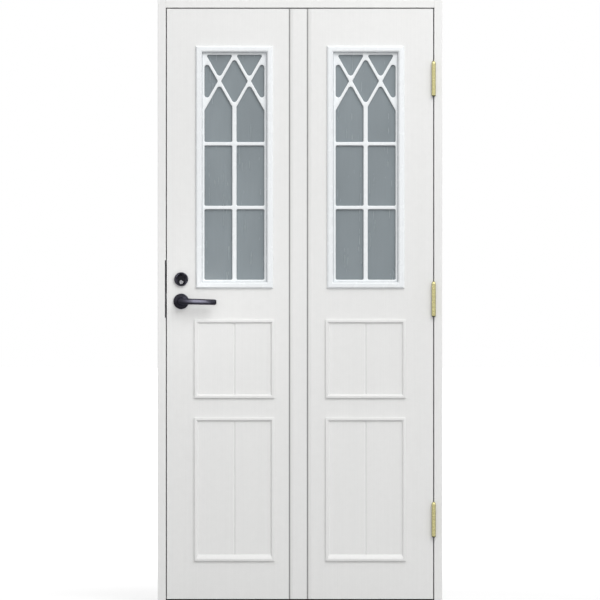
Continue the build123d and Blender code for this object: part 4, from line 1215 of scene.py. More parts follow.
@dataclass(frozen=True)
class LatticeRule:
    """Two crossed arches over a grid, by the lines of its bars.

    Attributes:
        border: Width of the sheet's own border.
        diagonal: Width of the arches' bars.
        muntin: Width of the upright bar.
        crossbar: Width of the level bars.
        corner: Radius of the openings' corners.
        crotch: Radius of their sharp corners between two sloping or upright bars.
        edge_round: Radius along the openings' front edges.
        arch: Height of the arches.
        drops: Depth of each level bar below the top light.
        acute: Angle under which a corner counts as sharp.
        level_within: Fall under which a side of an opening counts as level.
    """

    border: float = 0.008
    diagonal: float = 0.010
    muntin: float = 0.015
    crossbar: float = 0.012
    corner: float = 0.005
    crotch: float = 0.009
    edge_round: float = 0.0025
    arch: float = 0.184
    drops: Range = (0.310, 0.532)
    acute: float = math.radians(80.0)
    level_within: float = 0.000001

    def openings(self, width: float, height: float) -> list[list[Vector]]:
        """The sharp outlines of all the openings, counter-clockwise.

        Args:
            width: The sheet's width.
            height: The sheet's height.

        Returns:
            The outlines round the sheet's middle.
        """
        right = width / 2 - self.border
        top = height / 2 - self.border
        spring = top - self.arch
        levels = [top - drop for drop in self.drops]
        light = [Vector((-right, -top)), Vector((right, -top)), Vector((right, top)), Vector((-right, top))]
        made = []
        arches: list[Line] = []
        for side in Side:
            edge = side.value * right
            rising = (Vector((edge, spring)), Vector((0.0, top)))
            falling = (Vector((edge, top)), Vector((0.0, spring)))
            arches += [rising, falling]
            made.append(self._cut(light, [(rising, 1), (falling, 1)], side))
            made.append(self._cut(light, [(rising, 1), (falling, -1)], side))
            pointed = self._cut(light, [(rising, -1), (falling, -1)], side, self.muntin / 2)
            made.append(self._band(pointed, levels[0], top))
            for low, high in ((levels[1], levels[0]), (None, levels[1])):
                column = self._cut(light, [], side, self.muntin / 2)
                made.append(self._band(column, low, high - self.crossbar / 2))
        diamond = light
        for line, above in zip(arches, (-1, 1, -1, 1)):
            diamond = self._keep(diamond, line, above)
        made.append(diamond)
        return made

    def radii(self, opening: Sequence[Vector]) -> list[float]:
        """The radius of each corner of an opening.

        Args:
            opening: Its sharp outline.

        Returns:
            One radius for each corner.
        """
        made = []
        for index, here in enumerate(opening):
            back = opening[index - 1] - here
            front = opening[(index + 1) % len(opening)] - here
            sharp = back.angle(front) < self.acute
            sloping = min(abs(back.y), abs(front.y)) > self.level_within
            made.append(self.crotch if sharp and sloping else self.corner)
        return made

    def _cut(
        self, light: list[Vector], lines: Sequence[tuple[Line, int]], side: Side, clear: float = 0.0
    ) -> list[Vector]:
        """Keeps what lies on the stated side of each line, in one half of the sheet.

        Args:
            light: The outline to cut.
            lines: The arches' lines, each with 1 to keep what is above it or -1.
            side: The half of the sheet.
            clear: Distance kept from the sheet's middle.

        Returns:
            What is left of the outline.
        """
        kept = light
        for line, above in lines:
            kept = self._keep(kept, line, above)
        return self._clip(kept, Vector((0.0, 0.0)), Vector((side.value, 0.0)), clear)

    def _keep(self, shape: list[Vector], line: Line, above: int) -> list[Vector]:
        """Keeps the part above or below an arch's bar.

        Args:
            shape: The outline to cut.
            line: The bar's middle line.
            above: 1 to keep what is above it, or -1.

        Returns:
            What is left of the outline.
        """
        start, end = line
        run = end - start
        up = Vector((-run.y, run.x)).normalized()
        up *= math.copysign(1.0, up.y) * above
        return self._clip(shape, start, up, self.diagonal / 2)

    def _band(self, shape: list[Vector], low: float | None, high: float) -> list[Vector]:
        """Keeps what lies between two level bars; none below the lowest.

        Args:
            shape: The outline to cut.
            low: The lower bar's middle line, or none.
            high: The upper edge.

        Returns:
            What is left of the outline.
        """
        if low is not None:
            shape = self._clip(shape, Vector((0.0, low)), Vector((0.0, 1.0)), self.crossbar / 2)
        return self._clip(shape, Vector((0.0, high)), Vector((0.0, -1.0)), 0.0)

    @staticmethod
    def _clip(shape: list[Vector], origin: Vector, inward: Vector, clear: float) -> list[Vector]:
        """Cuts a convex outline by a line and keeps the side that inward points to.

        Args:
            shape: The outline to cut.
            origin: A point of the line.
            inward: The way to the side that is kept.
            clear: Distance kept from the line.

        Returns:
            What is left of the outline.
        """
        kept = []
        for first, second in zip(shape, [*shape[1:], shape[0]]):
            before = (first - origin).dot(inward) - clear
            after = (second - origin).dot(inward) - clear
            if before >= 0:
                kept.append(first)
            if before * after < 0:
                kept.append(first.lerp(second, before / (before - after)))
        return kept


@dataclass(frozen=True)
class WindowLight:
    """One glazed light: the beads on both faces and the lattice on the outer pane.

    Attributes:
        side: Which half of the leaf.
        rule: The lattice's rule.
        shelf: How far the bead laps the skin.
        width: The bead's width.
        height: The bead's height over the skin.
        fall: Height of the slope to the glass.
        slope: Width of that slope.
        crown: Width of the outer slope.
        rounds: Radii along the bead, from the glass outwards.
    """

    side: Side
    rule: LatticeRule = LatticeRule()
    shelf: float = 0.0143
    width: float = 0.022
    height: float = 0.010
    fall: float = 0.006
    slope: float = 0.005
    crown: float = 0.005
    rounds: tuple[float, ...] = (0.0006, 0.0010, 0.0016, 0.0010)

    def build(self, bench: Bench, pattern: Pattern) -> None:
        """Makes the beads and the lattice.

        Args:
            bench: The bench that finishes and fits the pieces.
            pattern: The lattice's pattern.
        """
        leaf_out = Box.of("outer_skin").low.y
        leaf_in = Box.of("inner_skin").high.y
        for face, out, word in ((leaf_out, -1, "outside"), (leaf_in, 1, "inside")):
            node = f"glazing_frame_{word}_{self.side.label}"
            box = Box.of(node)
            leg = box.size.y - self.height
            seat = Seat.on_face(box.middle.x, face, box.middle.z, out)
            rings = bordered(box.size.x, box.size.z, self._section(leg))
            bead = Shell(seat).loft(rings, closed=True).piece(f"bead_{word}_{self.side.label}")
            bench.fit(bead, Body.LEAF, Slot.WHITE_PLASTIC, node)
        self._lattice(bench, pattern)

    def _section(self, leg: float) -> list[Vector]:
        """The bead's section: distance inward, height over the skin.

        Args:
            leg: Depth of the bead's leg under the skin.

        Returns:
            The section's outline.
        """
        glass, slope, crown, outer = self.rounds
        corners = [
            Corner(0.0, 0.0),
            Corner(self.shelf, 0.0),
            Corner(self.shelf, -leg),
            Corner(self.width, -leg),
            Corner(self.width, self.height - self.fall, glass),
            Corner(self.width - self.slope, self.height, slope),
            Corner(self.crown, self.height, crown),
            Corner(0.0, self.height - self.crown, outer),
        ]
        return rounded(corners)

    def _lattice(self, bench: Bench, pattern: Pattern) -> None:
        """Draws the loops and lets the pattern make the sheet.

        Args:
            bench: The bench that finishes and fits the pieces.
            pattern: The lattice's pattern.
        """
        node = f"lattice_{self.side.label}"
        box = Box.of(node)
        width, height = box.size.x, box.size.z
        border = [Vector((-width / 2, -height / 2)), Vector((-width / 2, height / 2))]
        border += [Vector((width / 2, height / 2)), Vector((width / 2, -height / 2))]
        loops = [(loop, self.rule.radii(loop)) for loop in self.rule.openings(width, height)]
        loops.append((border, [0.0] * len(border)))
        points: list[Point] = []
        edges: list[tuple[int, int]] = []
        corners: list[float] = []
        for loop, rounds in loops:
            first = len(points)
            points += [(point.x, point.y, 0.0) for point in loop]
            corners += rounds
            edges += [(first + i, first + (i + 1) % len(loop)) for i in range(len(loop))]
        base = bpy.data.meshes.new(f"{node}_loops")
        base.from_pydata(points, edges, [])
        radii = base.attributes.new(LatticePattern.CORNER, "FLOAT", "POINT")
        radii.data.foreach_set("value", corners)
        values = {
            "Thickness": box.size.y,
            "Edge Round": self.rule.edge_round,
            "Place": (box.middle.x, box.high.y, box.middle.z),
            "Material": bench.paintbox.material(FINISHES[Slot.WHITE_PLASTIC]),
        }
        sheet = pattern.run(f"crossed_arches_{self.side.label}", base, values)
        bench.fit(sheet, Body.LEAF, Slot.WHITE_PLASTIC, node)


# Panels


@dataclass(frozen=True)
class PanelMoulding:
    """The raised border round one panel.

    Attributes:
        level: The panel's word in the nodes' names.
        side: Which half of the leaf.
        inside: Whether it is on the room's face.
        sill: Width of the sloped bottom member, or zero.
        width: Width of the border.
        crown: Where the flat crown ends.
        edge_round: Radius of the crown's outer edge.
        toe: Height of the inner edge.
        hollow: Radius of the hollow slope.
        lift: Gap left between the sill and the panel.
        lap: How far the sill's ridge lies below the crown.
        sill_rounds: Radii of the sill's back edge, ridge and toe.
    """

    level: str
    side: Side
    inside: bool
    sill: float = 0.0
    width: float = 0.013
    crown: float = 0.0078
    edge_round: float = 0.0012
    toe: float = 0.0010
    hollow: float = 0.013
    lift: float = 0.0001
    lap: float = 0.0002
    sill_rounds: tuple[float, ...] = (0.0004, 0.0006, 0.0003)

    def build(self, bench: Bench) -> None:
        """Makes the border and its sill.

        Args:
            bench: The bench that finishes and fits the pieces.
        """
        tail = "_inside" if self.inside else ""
        node = f"moulding_{self.level}_{self.side.label}{tail}"
        box = Box.of(node)
        face = Box.of("inner_skin").high.y if self.inside else Box.of("outer_skin").low.y
        seat = Seat.on_face(box.middle.x, face, box.middle.z, 1 if self.inside else -1)
        shell = Shell(seat)
        shell.loft(bordered(box.size.x, box.size.z, self._section(box.size.y)), closed=True)
        if self.sill:
            shell.loft(self._sill_rings(box.size.x, box.size.z, box.size.y))
        border = shell.piece(f"border_{self.level}_{self.side.label}{tail}")
        bench.fit(border, Body.LEAF, Slot.LEAF_PAINT, node)

    def _section(self, height: float) -> list[Vector]:
        """Upright outer side, rounded crown, hollow slope to the panel.

        Args:
            height: The border's height.

        Returns:
            The section's outline.
        """
        start = Vector((self.crown, height))
        end = Vector((self.width, self.toe))
        half = (end - start) / 2
        out = Vector((-half.y, half.x)).normalized()
        centre = start + half + out * math.sqrt(self.hollow**2 - half.length_squared)
        first = math.atan2(start.y - centre.y, start.x - centre.x)
        last = math.atan2(end.y - centre.y, end.x - centre.x)
        outline = rounded(
            [Corner(0.0, 0.0), Corner(0.0, height, self.edge_round), Corner(*start), Corner(*end)],
            closed=False,
        )[:-2]
        sweep = (last - first + math.pi) % math.tau - math.pi
        steps = 8
        for step in range(steps + 1):
            angle = first + sweep * step / steps
            outline.append(centre + self.hollow * Vector((math.cos(angle), math.sin(angle))))
        outline.append(Vector((self.width, 0.0)))
        return outline

    def _sill_rings(self, width: float, length: float, height: float) -> list[list[Point]]:
        """The two ends of the sloped bottom member.

        Args:
            width: The border's width.
            length: Its length.
            height: Its height.

        Returns:
            One ring for each end.
        """
        foot = -length / 2
        back = foot + self.edge_round
        back_round, ridge_round, toe_round = self.sill_rounds
        corners = [
            Corner(back, self.lift),
            Corner(back, height - 2 * self.lap - self.edge_round, back_round),
            Corner(foot + self.crown, height - self.lap, ridge_round),
            Corner(foot + self.sill, self.toe, toe_round),
            Corner(foot + self.sill, self.lift),
        ]
        outline = rounded(corners)
        reach = width / 2 - self.width / 2
        return [[(u, point.x, point.y) for point in outline] for u in (-reach, reach)]


# Lock furniture


@dataclass(frozen=True)
class Knob:
    """A handle that is turned at its neck and opens into a flat grip.

    Attributes:
        node: The node that it stands for.
        body: The body that it moves with.
        axis: The node whose middle is its axis.
        out: The way that it stands out along Y.
        discs: The discs that the grip's outline is pulled round.
        neck: Radius of the neck.
        lift: Height of the neck's foot.
        stand: Height of the grip's back.
        blend: Height over which the neck runs into the grip.
        edge_round: Radius of the grip's front edge.
        socket: Half the width of the square socket or shaft.
        socket_depth: Height of the socket's floor, or below zero of the shaft's end.
        foot_bevel: Bevel round the neck's foot.
        back_round: Bevel of the grip's back edge.
        flare_limit: How much of the way to the grip's edge the blend may take.
    """

    node: str
    body: Body
    axis: str
    out: int
    discs: tuple[Disc, ...]
    neck: float
    lift: float
    stand: float
    blend: float
    edge_round: float
    socket: float = 0.0
    socket_depth: float = 0.0
    foot_bevel: float = 0.0005
    back_round: float = 0.0006
    flare_limit: float = 0.9

    def build(self, bench: Bench) -> None:
        """Makes the handle as one closed shell.

        Args:
            bench: The bench that finishes and fits the pieces.
        """
        box = Box.of(self.node)
        axis = Box.of(self.axis).middle
        outside = self.out < 0
        face = Box.of("outer_skin").low.y if outside else Box.of("inner_skin").high.y
        top = face - box.low.y if outside else box.high.y - face
        seat = Seat.on_face(axis.x, face, axis.z, self.out)
        grip = Shell(seat).loft(self._foot() + self._grip(top)).piece(f"{self.node}_grip")
        bench.fit(grip, self.body, Slot.BLACK_METAL, self.node)

    def _foot(self) -> list[list[Point]]:
        """The rings from the socket or shaft to where the neck runs into the grip.

        Returns:
            The rings, from the back.
        """
        outline = pulled_round(self.discs)
        neck = circle_under(outline, self.neck)
        rings = []
        if self.socket:
            square = square_under(outline, self.socket)
            rings += [level(square, self.socket_depth), level(square, self.lift)]
        rings.append(level(circle_under(outline, self.neck - self.foot_bevel), self.lift))
        rings.append(level(neck, self.lift + self.foot_bevel))
        rings.append(level(neck, self.stand - self.blend))
        steps = 6
        for step in range(1, steps + 1):
            share = step / steps
            reach = self.blend * (1 - math.sqrt(1 - share * share))
            flared = [self._flared(inner, outer, reach) for inner, outer in zip(neck, outline)]
            rings.append(level(flared, self.stand - self.blend * (1 - share)))
        return rings

    def _flared(self, inner: Vector, outer: Vector, reach: float) -> Vector:
        """A point of the blend, on its way from the neck to the grip's edge."""
        way = outer - inner
        return inner + way.normalized() * min(reach, way.length * self.flare_limit)

    def _grip(self, top: float) -> list[list[Point]]:
        """The rings of the grip, from its back to its rounded front.

        Args:
            top: Height of the grip's front.

        Returns:
            The rings, from the back.
        """
        rings = [level(pulled_round(self.discs, self.back_round), self.stand)]
        rings.append(level(pulled_round(self.discs), self.stand + self.back_round))
        for inset, drop in quarter_round(self.edge_round):
            rings.append(level(pulled_round(self.discs, inset), top - drop))
        return rings


@dataclass(frozen=True)
class Rose:
    """A round cover plate, slightly domed, with a bearing hole.

    Attributes:
        node: The node that it stands for.
        out: The way that the face looks along Y.
        hole: Radius of the bearing hole.
        bevel: Radius of the rim's round.
        dome: How far the rim lies below the middle.
        mouth: Width and depth of the step round the hole.
        mouth_slope: How much wider the step is at the face.
        mouth_rounds: Radii of the step, from the face inwards.
    """

    node: str
    out: int
    hole: float
    bevel: float = 0.0022
    dome: float = 0.0013
    mouth: Range = (0.0016, 0.0010)
    mouth_slope: float = 0.0009
    mouth_rounds: tuple[float, ...] = (0.0012, 0.0004, 0.0003)

    def build(self, bench: Bench) -> None:
        """Turns the rose.

        Args:
            bench: The bench that finishes and fits the pieces.
        """
        box = Box.of(self.node)
        face = box.high.y if self.out < 0 else box.low.y
        radius, thickness = box.size.x / 2, box.size.y
        wide, deep = self.mouth
        face_round, step_round, hole_round = self.mouth_rounds
        corners = [
            Corner(self.hole, 0.0),
            Corner(radius, 0.0),
            Corner(radius, thickness - self.dome, self.bevel),
            Corner(self.hole + wide + self.mouth_slope, thickness, face_round),
            Corner(self.hole + wide, thickness - deep, step_round),
            Corner(self.hole, thickness - deep, hole_round),
        ]
        seat = Seat.on_face(box.middle.x, face, box.middle.z, self.out)
        shell = Shell(seat).loft(turned(rounded(corners), steps=96), closed=True)
        bench.fit(shell.piece(f"{self.node}_turned"), Body.LEAF, Slot.BLACK_METAL, self.node)


@dataclass(frozen=True)
class OvalCylinder:
    """The security ring, the oval cylinder in its flared mouth and the key plug.

    Attributes:
        ring_rise: Height of the ring's middle over the plug's axis.
        oval_rise: Height of the oval's second centre over the first.
        oval: End radius of the cylinder.
        seat_fit: Gap between the cylinder and its ring.
        plug_fit: Gap between the plug and its bore.
        lip: Bevel of the ring's mouth and of the plug's edge.
        lip_slope: Depth of the mouth's bevel, as a share of its width.
        face_lip: Bevel of the cylinder's edges.
        recess: Depth of the cylinder's face in the ring.
        flare: How far the mouth opens at the sides and the top.
        bevel: Radius of the ring's rim.
        plug: Radius of the plug.
        keyway: Half the keyway's width and height.
        keyway_depth: The keyway's depth.
        tail: Half the width of the square tailpiece.
    """

    ring_rise: float = 0.010
    oval_rise: float = 0.012
    oval: float = 0.011
    seat_fit: float = 0.0003
    plug_fit: float = 0.00006
    lip: float = 0.0005
    lip_slope: float = 0.6
    face_lip: float = 0.0004
    recess: float = 0.004
    flare: float = 0.0047
    bevel: float = 0.0022
    plug: float = 0.007
    keyway: Range = (0.0010, 0.0045)
    keyway_depth: float = 0.020
    tail: float = 0.003

    def build(self, bench: Bench) -> None:
        """Makes the ring, the cylinder and the plug.

        Args:
            bench: The bench that finishes and fits the pieces.
        """
        self._ring(bench)
        self._body(bench)
        self._plug(bench)

    def _oval(self, radius: float, lower: float, upper: float) -> list[Vector]:
        """An upright oval between two centres."""
        ends = [Disc(0.0, lower, radius), Disc(0.0, upper, radius)]
        return pulled_round(ends, steps=40, straight=16)

    def _ring(self, bench: Bench) -> None:
        """The ring, its mouth flared to the sides and the top.

        Args:
            bench: The bench that finishes and fits the pieces.
        """
        box = Box.of("cylinder_ring")
        radius, thickness = box.size.x / 2, box.size.y
        lower, upper = -self.ring_rise, self.oval_rise - self.ring_rise
        hole = self.oval + self.seat_fit
        through = self._oval(hole, lower, upper)
        mouth = self._oval(hole + self.flare, lower + self.flare, upper)
        wider = self._oval(hole + self.flare + self.lip, lower + self.flare, upper)
        rings = [level(circle_under(mouth, radius), 0.0)]
        for inset, drop in quarter_round(self.bevel):
            rings.append(level(circle_under(mouth, radius - inset), thickness - drop))
        rings += [level(wider, thickness), level(mouth, thickness - self.lip * self.lip_slope)]
        rings += [level(through, thickness - self.recess), level(through, 0.0)]
        seat = Seat.on_face(box.middle.x, box.high.y, box.middle.z, -1)
        shell = Shell(seat).loft(rings, closed=True)
        bench.fit(shell.piece("security_ring"), Body.LEAF, Slot.BLACK_METAL, "cylinder_ring")

    def _body(self, bench: Bench) -> None:
        """The oval cylinder with the plug's bore.

        Args:
            bench: The bench that finishes and fits the pieces.
        """
        box = Box.of("cylinder_body")
        axis = Box.of("key_plug").middle
        bore = self.plug + self.plug_fit
        depth = box.size.y
        oval = self._oval(self.oval, 0.0, self.oval_rise)
        inner = self._oval(self.oval - self.face_lip, 0.0, self.oval_rise)
        hole = circle_under(oval, bore)
        eased = circle_under(oval, bore + self.face_lip)
        rings = [level(oval, 0.0), level(oval, depth - self.face_lip), level(inner, depth)]
        rings += [level(eased, depth), level(hole, depth - self.face_lip), level(hole, 0.0)]
        seat = Seat.on_face(axis.x, box.high.y, axis.z, -1)
        cylinder = Shell(seat).loft(rings, closed=True).piece("oval_cylinder")
        bench.fit(cylinder, Body.LEAF, Slot.CYLINDER_BRASS, "cylinder_body", finish=CYLINDER_FACE)

    def _plug(self, bench: Bench) -> None:
        """The plug: a square tailpiece behind and the keyway in front.

        Args:
            bench: The bench that finishes and fits the pieces.
        """
        box = Box.of("key_plug")
        full = box.size.y
        shoulder = box.high.y - Box.of("cylinder_body").high.y + self.seat_fit
        half_width, half_height = self.keyway
        reach = half_height - half_width
        slot = [Disc(0.0, -reach, half_width), Disc(0.0, reach, half_width)]
        key = pulled_round(slot, steps=12)
        circle = circle_under(key, self.plug)
        tail = square_under(key, self.tail)
        rings = [level(tail, 0.0), level(tail, shoulder)]
        rings += [level(circle, shoulder), level(circle, full - self.lip)]
        rings += [level(circle_under(key, self.plug - self.lip), full), level(key, full)]
        rings.append(level(key, full - self.keyway_depth))
        seat = Seat.on_face(box.middle.x, box.high.y, box.middle.z, -1)
        plug = Shell(seat).loft(rings).piece("plug_with_keyway")
        bench.fit(plug, Body.TURN, Slot.CYLINDER_BRASS, "key_plug")


@dataclass(frozen=True)
class LockFurniture:
    """The levers, the roses, the thumbturn and the cylinder.

    Attributes:
        grip: The lever's discs: round the neck, and the two corners of its tip.
        wing: The discs at the two ends of the thumbturn's wing.
        lever_neck: Radius of the levers' necks.
        turn_neck: Radius of the thumbturn's neck.
        neck_play: Gap between a neck and its rose.
        rose_gap: Gap between a neck's foot and the leaf.
    """

    grip: tuple[Disc, ...] = (
        Disc(0.0, 0.0, 0.01075),
        Disc(0.117, -0.0065, 0.006),
        Disc(0.117, 0.0005, 0.006),
    )
    wing: tuple[Disc, ...] = (Disc(0.0, -0.0105, 0.0065), Disc(0.0, 0.0105, 0.0065))
    lever_neck: float = 0.011
    turn_neck: float = 0.008
    neck_play: float = 0.00006
    rose_gap: float = 0.0003

    def build(self, bench: Bench) -> None:
        """Makes the furniture of both faces.

        Args:
            bench: The bench that finishes and fits the pieces.
        """
        for word, out in (("outside", -1), ("inside", 1)):
            Rose(f"rose_{word}", out, hole=self.lever_neck + self.neck_play).build(bench)
            self._lever(word, out).build(bench)
        Rose("thumbturn_rose", 1, hole=self.turn_neck + self.neck_play).build(bench)
        self._thumbturn().build(bench)
        OvalCylinder().build(bench)

    def _lever(self, word: str, out: int) -> Knob:
        """The lever of one face, with the socket for its spindle.

        Args:
            word: The face's word in the nodes' names.
            out: The way out along Y.

        Returns:
            The lever.
        """
        return Knob(
            f"lever_{word}",
            Body.LEVER,
            f"rose_{word}",
            out,
            self.grip,
            neck=self.lever_neck,
            lift=self.rose_gap,
            stand=0.038,
            blend=0.0035,
            edge_round=0.0035,
            socket=0.00406,
            socket_depth=0.026,
        )

    def _thumbturn(self) -> Knob:
        """The thumbturn, with the square shaft that reaches the cam.

        Returns:
            The thumbturn.
        """
        shaft = Box.of("thumbturn").low.y - Box.of("inner_skin").high.y
        return Knob(
            "thumbturn",
            Body.TURN,
            "thumbturn_rose",
            1,
            self.wing,
            neck=self.turn_neck,
            lift=self.rose_gap,
            stand=0.0093,
            blend=0.0015,
            edge_round=0.0025,
            socket=0.003,
            socket_depth=shaft,
        )


# Screws


@dataclass(frozen=True)
class WoodScrew:
    """A flat-headed wood screw with a cross recess.

    Attributes:
        head: Radius of the head.
        head_depth: Height of the head.
        shank: Radius of the shank.
        length: Whole length.
        sunk: How far the head lies below the face.
        arm: Reach of the recess's arms.
        arm_width: Half the width of the arms.
        recess: Depth of the recess.
        floor_share: Width of the recess at its floor, as a share of its mouth.
        wall_share: Width of the recess at the foot of its upper wall, likewise.
        wall_depth: Depth of that wall, as a share of the recess.
        rim: Bevel of the head's edge.
        under: Height of the bevel under the head.
        tip: Length of the pointed end.
        point: Radius that is left at its point.
        steps: Points round the screw.
    """

    head: float = 0.00415
    head_depth: float = 0.0015
    shank: float = 0.0022
    length: float = 0.0216
    sunk: float = 0.0001
    arm: float = 0.0024
    arm_width: float = 0.00055
    recess: float = 0.0011
    floor_share: float = 0.35
    wall_share: float = 0.92
    wall_depth: float = 0.35
    rim: float = 0.0003
    under: float = 0.0001
    tip: float = 0.004
    point: float = 0.0002
    steps: int = 48

    def build(self) -> bpy.types.Object:
        """Makes the screw with its head's face at the origin, looking along Z.

        Returns:
            The screw that the sets repeat.
        """
        around = [math.tau * index / self.steps for index in range(self.steps)]
        cross = [self._cross(angle) for angle in around]
        top = -self.sunk
        rings = [
            level([p * self.floor_share for p in cross], top - self.recess),
            level([p * self.wall_share for p in cross], top - self.recess * self.wall_depth),
            level(cross, top),
        ]
        profile = (
            (self.head - self.rim, top),
            (self.head, top - self.rim),
            (self.head, top - self.head_depth + self.under),
            (self.shank, top - self.head_depth),
            (self.shank, self.tip - self.length),
            (self.point, -self.length),
        )
        for radius, height in profile:
            rings.append([(radius * math.cos(a), radius * math.sin(a), height) for a in around])
        seat = Seat(Vector(), Vector((1, 0, 0)), Vector((0, 1, 0)), Vector((0, 0, 1)))
        return Shell(seat).loft(rings).piece("screw_master")

    def _cross(self, angle: float) -> Vector:
        """The recess's edge in one direction.

        Args:
            angle: The direction.

        Returns:
            The point of the edge.
        """
        way = Vector((math.cos(angle), math.sin(angle)))
        small, large = sorted((abs(way.x), abs(way.y)))
        arm = self.arm / large
        if small > 0:
            arm = min(arm, self.arm_width / small)
        return way * max(arm, self.arm_width * math.sqrt(2.0))


@dataclass(frozen=True)
class ScrewSet:
    """The screws of one node.

    Attributes:
        node: The node that they stand for.
        body: The body that they ride on.
        slot: Their material slot.
        heading: The way that they are driven along X.
        places: The place of each head.
        seed: Seed of their turning.
    """

    node: str
    body: Body
    slot: Slot
    heading: int
    places: tuple[Point, ...]
    seed: int

    def build(self, bench: Bench, pattern: Pattern, screw: bpy.types.Object) -> None:
        """Sets the screws as one mesh.

        Args:
            bench: The bench that finishes and fits the pieces.
            pattern: The screws' pattern.
            screw: The screw that is repeated.
        """
        base = bpy.data.meshes.new(f"{self.node}_places")
        base.from_pydata(self.places, [], [])
        values = {
            "Screw": screw,
            "Facing": (0.0, -self.heading * math.pi / 2, 0.0),
            "Seed": self.seed,
            "Material": bench.paintbox.material(FINISHES[self.slot]),
        }
        made = pattern.run(f"{self.node}_set", base, values)
        bench.fit(made, self.body, self.slot, self.node)


def hinge_screws(node: str, body: Body, heading: int, seed: int) -> ScrewSet:
    """The staggered screws of the three hinges' halves on one body.

    Args:
        node: The node that they stand for.
        body: The body that they ride on.
        heading: The way that they are driven along X.
        seed: Seed of their turning.

    Returns:
        The set.
    """
    pitch, stagger = 0.044, 0.010
    box = Box.of(node)
    face = box.low.x if heading > 0 else box.high.x
    places = []
    for word in ("top", "middle", "bottom"):
        height = Box.of(f"hinge_leaf_half_{word}").middle.z
        for step in (-1, 0, 1):
            y = box.middle.y + (stagger if step == 0 else -stagger) / 2
            places.append((face, y, height + step * pitch))
    return ScrewSet(node, body, Slot.BRASS, heading, tuple(places), seed)


def screw_sets() -> list[ScrewSet]:
    """The screws of the hinges, the strike plate and the lock's forend.

    Returns:
        One set for each node.
    """
    sets = [
        hinge_screws("hinge_screws_frame", Body.FRAME, 1, seed=3),
        hinge_screws("hinge_screws_leaf", Body.LEAF, -1, seed=5),
    ]
    strike = Box.of("strike_screws")
    head = strike.size.y / 2
    between = (Box.of("latch_bolt").high.z + Box.of("deadbolt").low.z) / 2
    heights = (strike.low.z + head, between, strike.high.z - head)
    places = tuple((strike.high.x, strike.middle.y, z) for z in heights)
    sets.append(ScrewSet("strike_screws", Body.FRAME, Slot.DARK_STEEL, -1, places, seed=7))
    forend = Box.of("forend_screws")
    head = forend.size.y / 2
    places = tuple((forend.low.x, forend.middle.y, z) for z in (forend.low.z + head, forend.high.z - head))
    sets.append(ScrewSet("forend_screws", Body.LEAF, Slot.BRIGHT_STEEL, 1, places, seed=11))
    return sets


# Seal


@dataclass(frozen=True)
class SealProfile:
    """The soft seal round the stop: a rounded bulb on a barbed tongue.

    Attributes:
        bulb: Width of the bulb.
        tongue: Width of the tongue.
        tongue_depth: Depth of the kerf.
        cheek: Radius of the bulb's two sides.
        barb: How far the tongue's barbs stand out.
    """

    bulb: float = 0.006
    tongue: float = 0.003
    tongue_depth: float = 0.0065
    cheek: float = 0.0026
    barb: float = 0.0004

    def build(self, bench: Bench) -> None:
        """Sweeps the seal round the stop.

        Args:
            bench: The bench that finishes and fits the pieces.
        """
        box = Box.of("frame_seal")
        height = box.size.y - self.tongue_depth
        side = (self.bulb - self.tongue) / 2
        corners = [
            Corner(0.0, 0.0),
            Corner(0.0, height, self.cheek),
            Corner(self.bulb / 2, height),
            Corner(self.bulb, height, self.cheek),
            Corner(self.bulb, 0.0),
            Corner(self.bulb - side, 0.0),
            Corner(self.bulb - side, self.barb - self.tongue_depth),
            Corner(self.bulb - side - self.barb, -self.tongue_depth),
            Corner(side + self.barb, -self.tongue_depth),
            Corner(side, self.barb - self.tongue_depth),
            Corner(side, 0.0),
        ]
        seat = Seat.on_face(box.middle.x, box.low.y + height, box.middle.z, -1)
        rings = bordered(box.size.x, box.size.z, rounded(corners))
        seal = Shell(seat).loft(rings, closed=True).piece("stop_seal")
        bench.fit(seal, Body.FRAME, Slot.RUBBER, "frame_seal")


# The studio


@dataclass(frozen=True)
class Card:
    """A square soft lamp of the studio.

    Attributes:
        name: Its name.
        place: Its middle.
        size: Its width.
        power: Its power in watts.
        aim: The point that it faces.
    """

    name: str
    place: Point
    size: float
    power: float
    aim: Point

    def build(self) -> None:
        """Hangs the lamp."""
        light = bpy.data.lights.new(self.name, "AREA")
        light.shape = "SQUARE"
        light.size = self.size
        light.energy = self.power
        lamp = linked(self.name, light)
        lamp.location = self.place
        heading = Vector(self.aim) - Vector(self.place)
        lamp.rotation_euler = heading.to_track_quat("-Z", "Y").to_euler()
        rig.stage(lamp)


